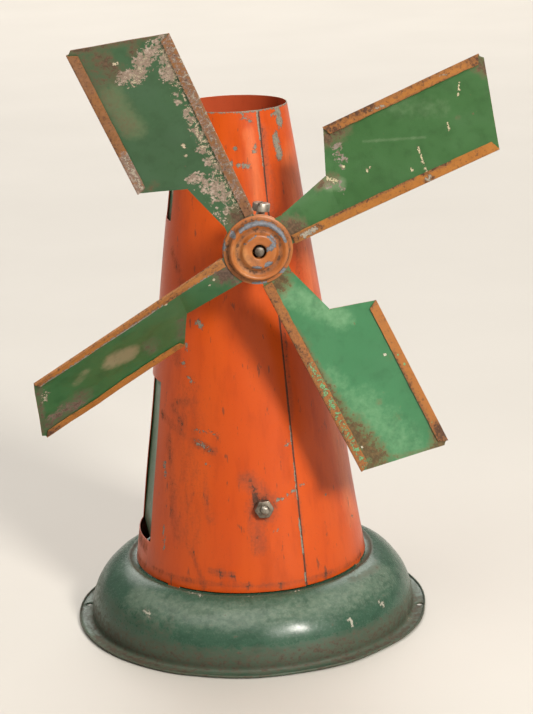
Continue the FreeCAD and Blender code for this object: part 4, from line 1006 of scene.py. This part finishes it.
# ---------------------------------------------------------------- tie bolt and nut
# A long slotted screw passes right through the tower's foot and is drawn up by a hexagon nut on
# the front. The nut's corners are turned off, and its flats are dark with old grime.
tie_front, tie_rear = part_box("tie_bolt")[0].y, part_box("tie_bolt")[1].y
pitch, crest_out, root_out = 0.8, 2.06, 1.82
thread = [(1.2, 0), (1.75, 0.25)]
for turn in range(10):
    thread += [(crest_out, 0.55 + turn * pitch), (crest_out, 0.7 + turn * pitch),
               (root_out, 0.95 + turn * pitch), (root_out, 1.1 + turn * pitch)]
head_high = 2.8
# Bright-drawn bolt steel gone a warm grey, cleaner than the nut.
bolt_steel = metal("bolt_steel", "#b9b2a6", "#756c60", "#5e4937", 0.30, 0.08)
slotted_screw("tie_screw", "tie_bolt", "stand",
              Matrix.Translation((0, tie_front, tie_height)) @ Matrix.Rotation(-math.pi / 2, 4, "X"),
              8.0, head_high, (tie_rear - tie_front) / MM - head_high, 35, bolt_steel, thread)

nut_high, nut_flats = 3.2, 8.73
start_clean()
bpy.ops.mesh.primitive_cylinder_add(vertices=6, radius=nut_flats / math.sqrt(3) * MM, depth=nut_high * MM,
                                    location=(0, 0, nut_high / 2 * MM), rotation=(0, 0, math.radians(30)))
nut = bpy.context.object
nut.name = nut.data.name = "tie_nut_turned"
bpy.ops.object.transform_apply(location=True, rotation=True)
apply_modifier(nut, "BEVEL", width=0.12 * MM, segments=2, limit_method="ANGLE")
turning = draw_up("nut_turning", rounds((4.2, 0), (5.15, 0.5), (5.15, 2.6), (4.15, 3.2)), 64, (True, True))
apply_modifier(nut, "BOOLEAN", operation="INTERSECT", object=turning, solver="EXACT")
bpy.data.objects.remove(turning)
cut_away(nut, draw_up("nut_bore", rounds((2.6, -0.1), (2.1, 0.4), (2.1, 2.8), (2.6, 3.3)), 40, (True, True)))
# Mild steel darkened by old grime, with a dull shine on the corners.
nut.data.materials.append(metal("grimy_nut_steel", "#9a9184", "#5c5348", "#4a3829", 0.42, 0.12))
set_at(nut, Matrix.Translation((0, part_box("tie_nut")[1].y, tie_height)) @ Matrix.Rotation(math.pi / 2, 4, "X"))
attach(nut, "stand")
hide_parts("tie_nut")


# ---------------------------------------------------------------- drive wheel
# A cast steel wheel on the axle's tail, turned with a round groove for a driving cord. A small
# slotted screw through its boss locks it to the axle.
wheel = draw_up("cord_wheel", rounds(
    (2.4, 0), (12.5, 0), (12.85, 0.12), (13.0, 0.45), (13.0, 0.9), (12.7, 1.25), (11.8, 1.75), (11.0, 2.3),
    (10.55, 2.8), (10.45, 3.1), (10.6, 3.4), (11.1, 3.9), (11.9, 4.4), (12.7, 4.8), (13.0, 5.1), (13.0, 5.6),
    (12.85, 5.88), (12.5, 6.0), (11.2, 6.0), (10.9, 5.8), (7.4, 5.8), (6.2, 6.0), (5.7, 6.5), (5.5, 7.2),
    (5.5, 11.6), (5.1, 12.0), (2.4, 12.0), (2.4, 0)), 96)
# Cast steel, grey and grainy, with rust in its hollows.
wheel.data.materials.append(metal("cast_grey_steel", "#8f8a82", "#645d55", "#684a35", 0.46, 0.12))
wheel_place = Matrix.Translation((0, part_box("drive_wheel")[0].y, axle_height)) @ Matrix.Rotation(
    -math.pi / 2, 4, "X")
set_at(wheel, wheel_place)
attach(wheel, "rotor")
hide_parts("drive_wheel")
slotted_screw("wheel_lock_screw", "wheel_set_screw", "rotor",
              wheel_place @ Matrix.Translation((2.4 * MM, 0, 9.0 * MM)) @ Matrix.Rotation(math.pi / 2, 4, "Y"),
              5.6, 2.2, 4.6, 15, screw_steel)
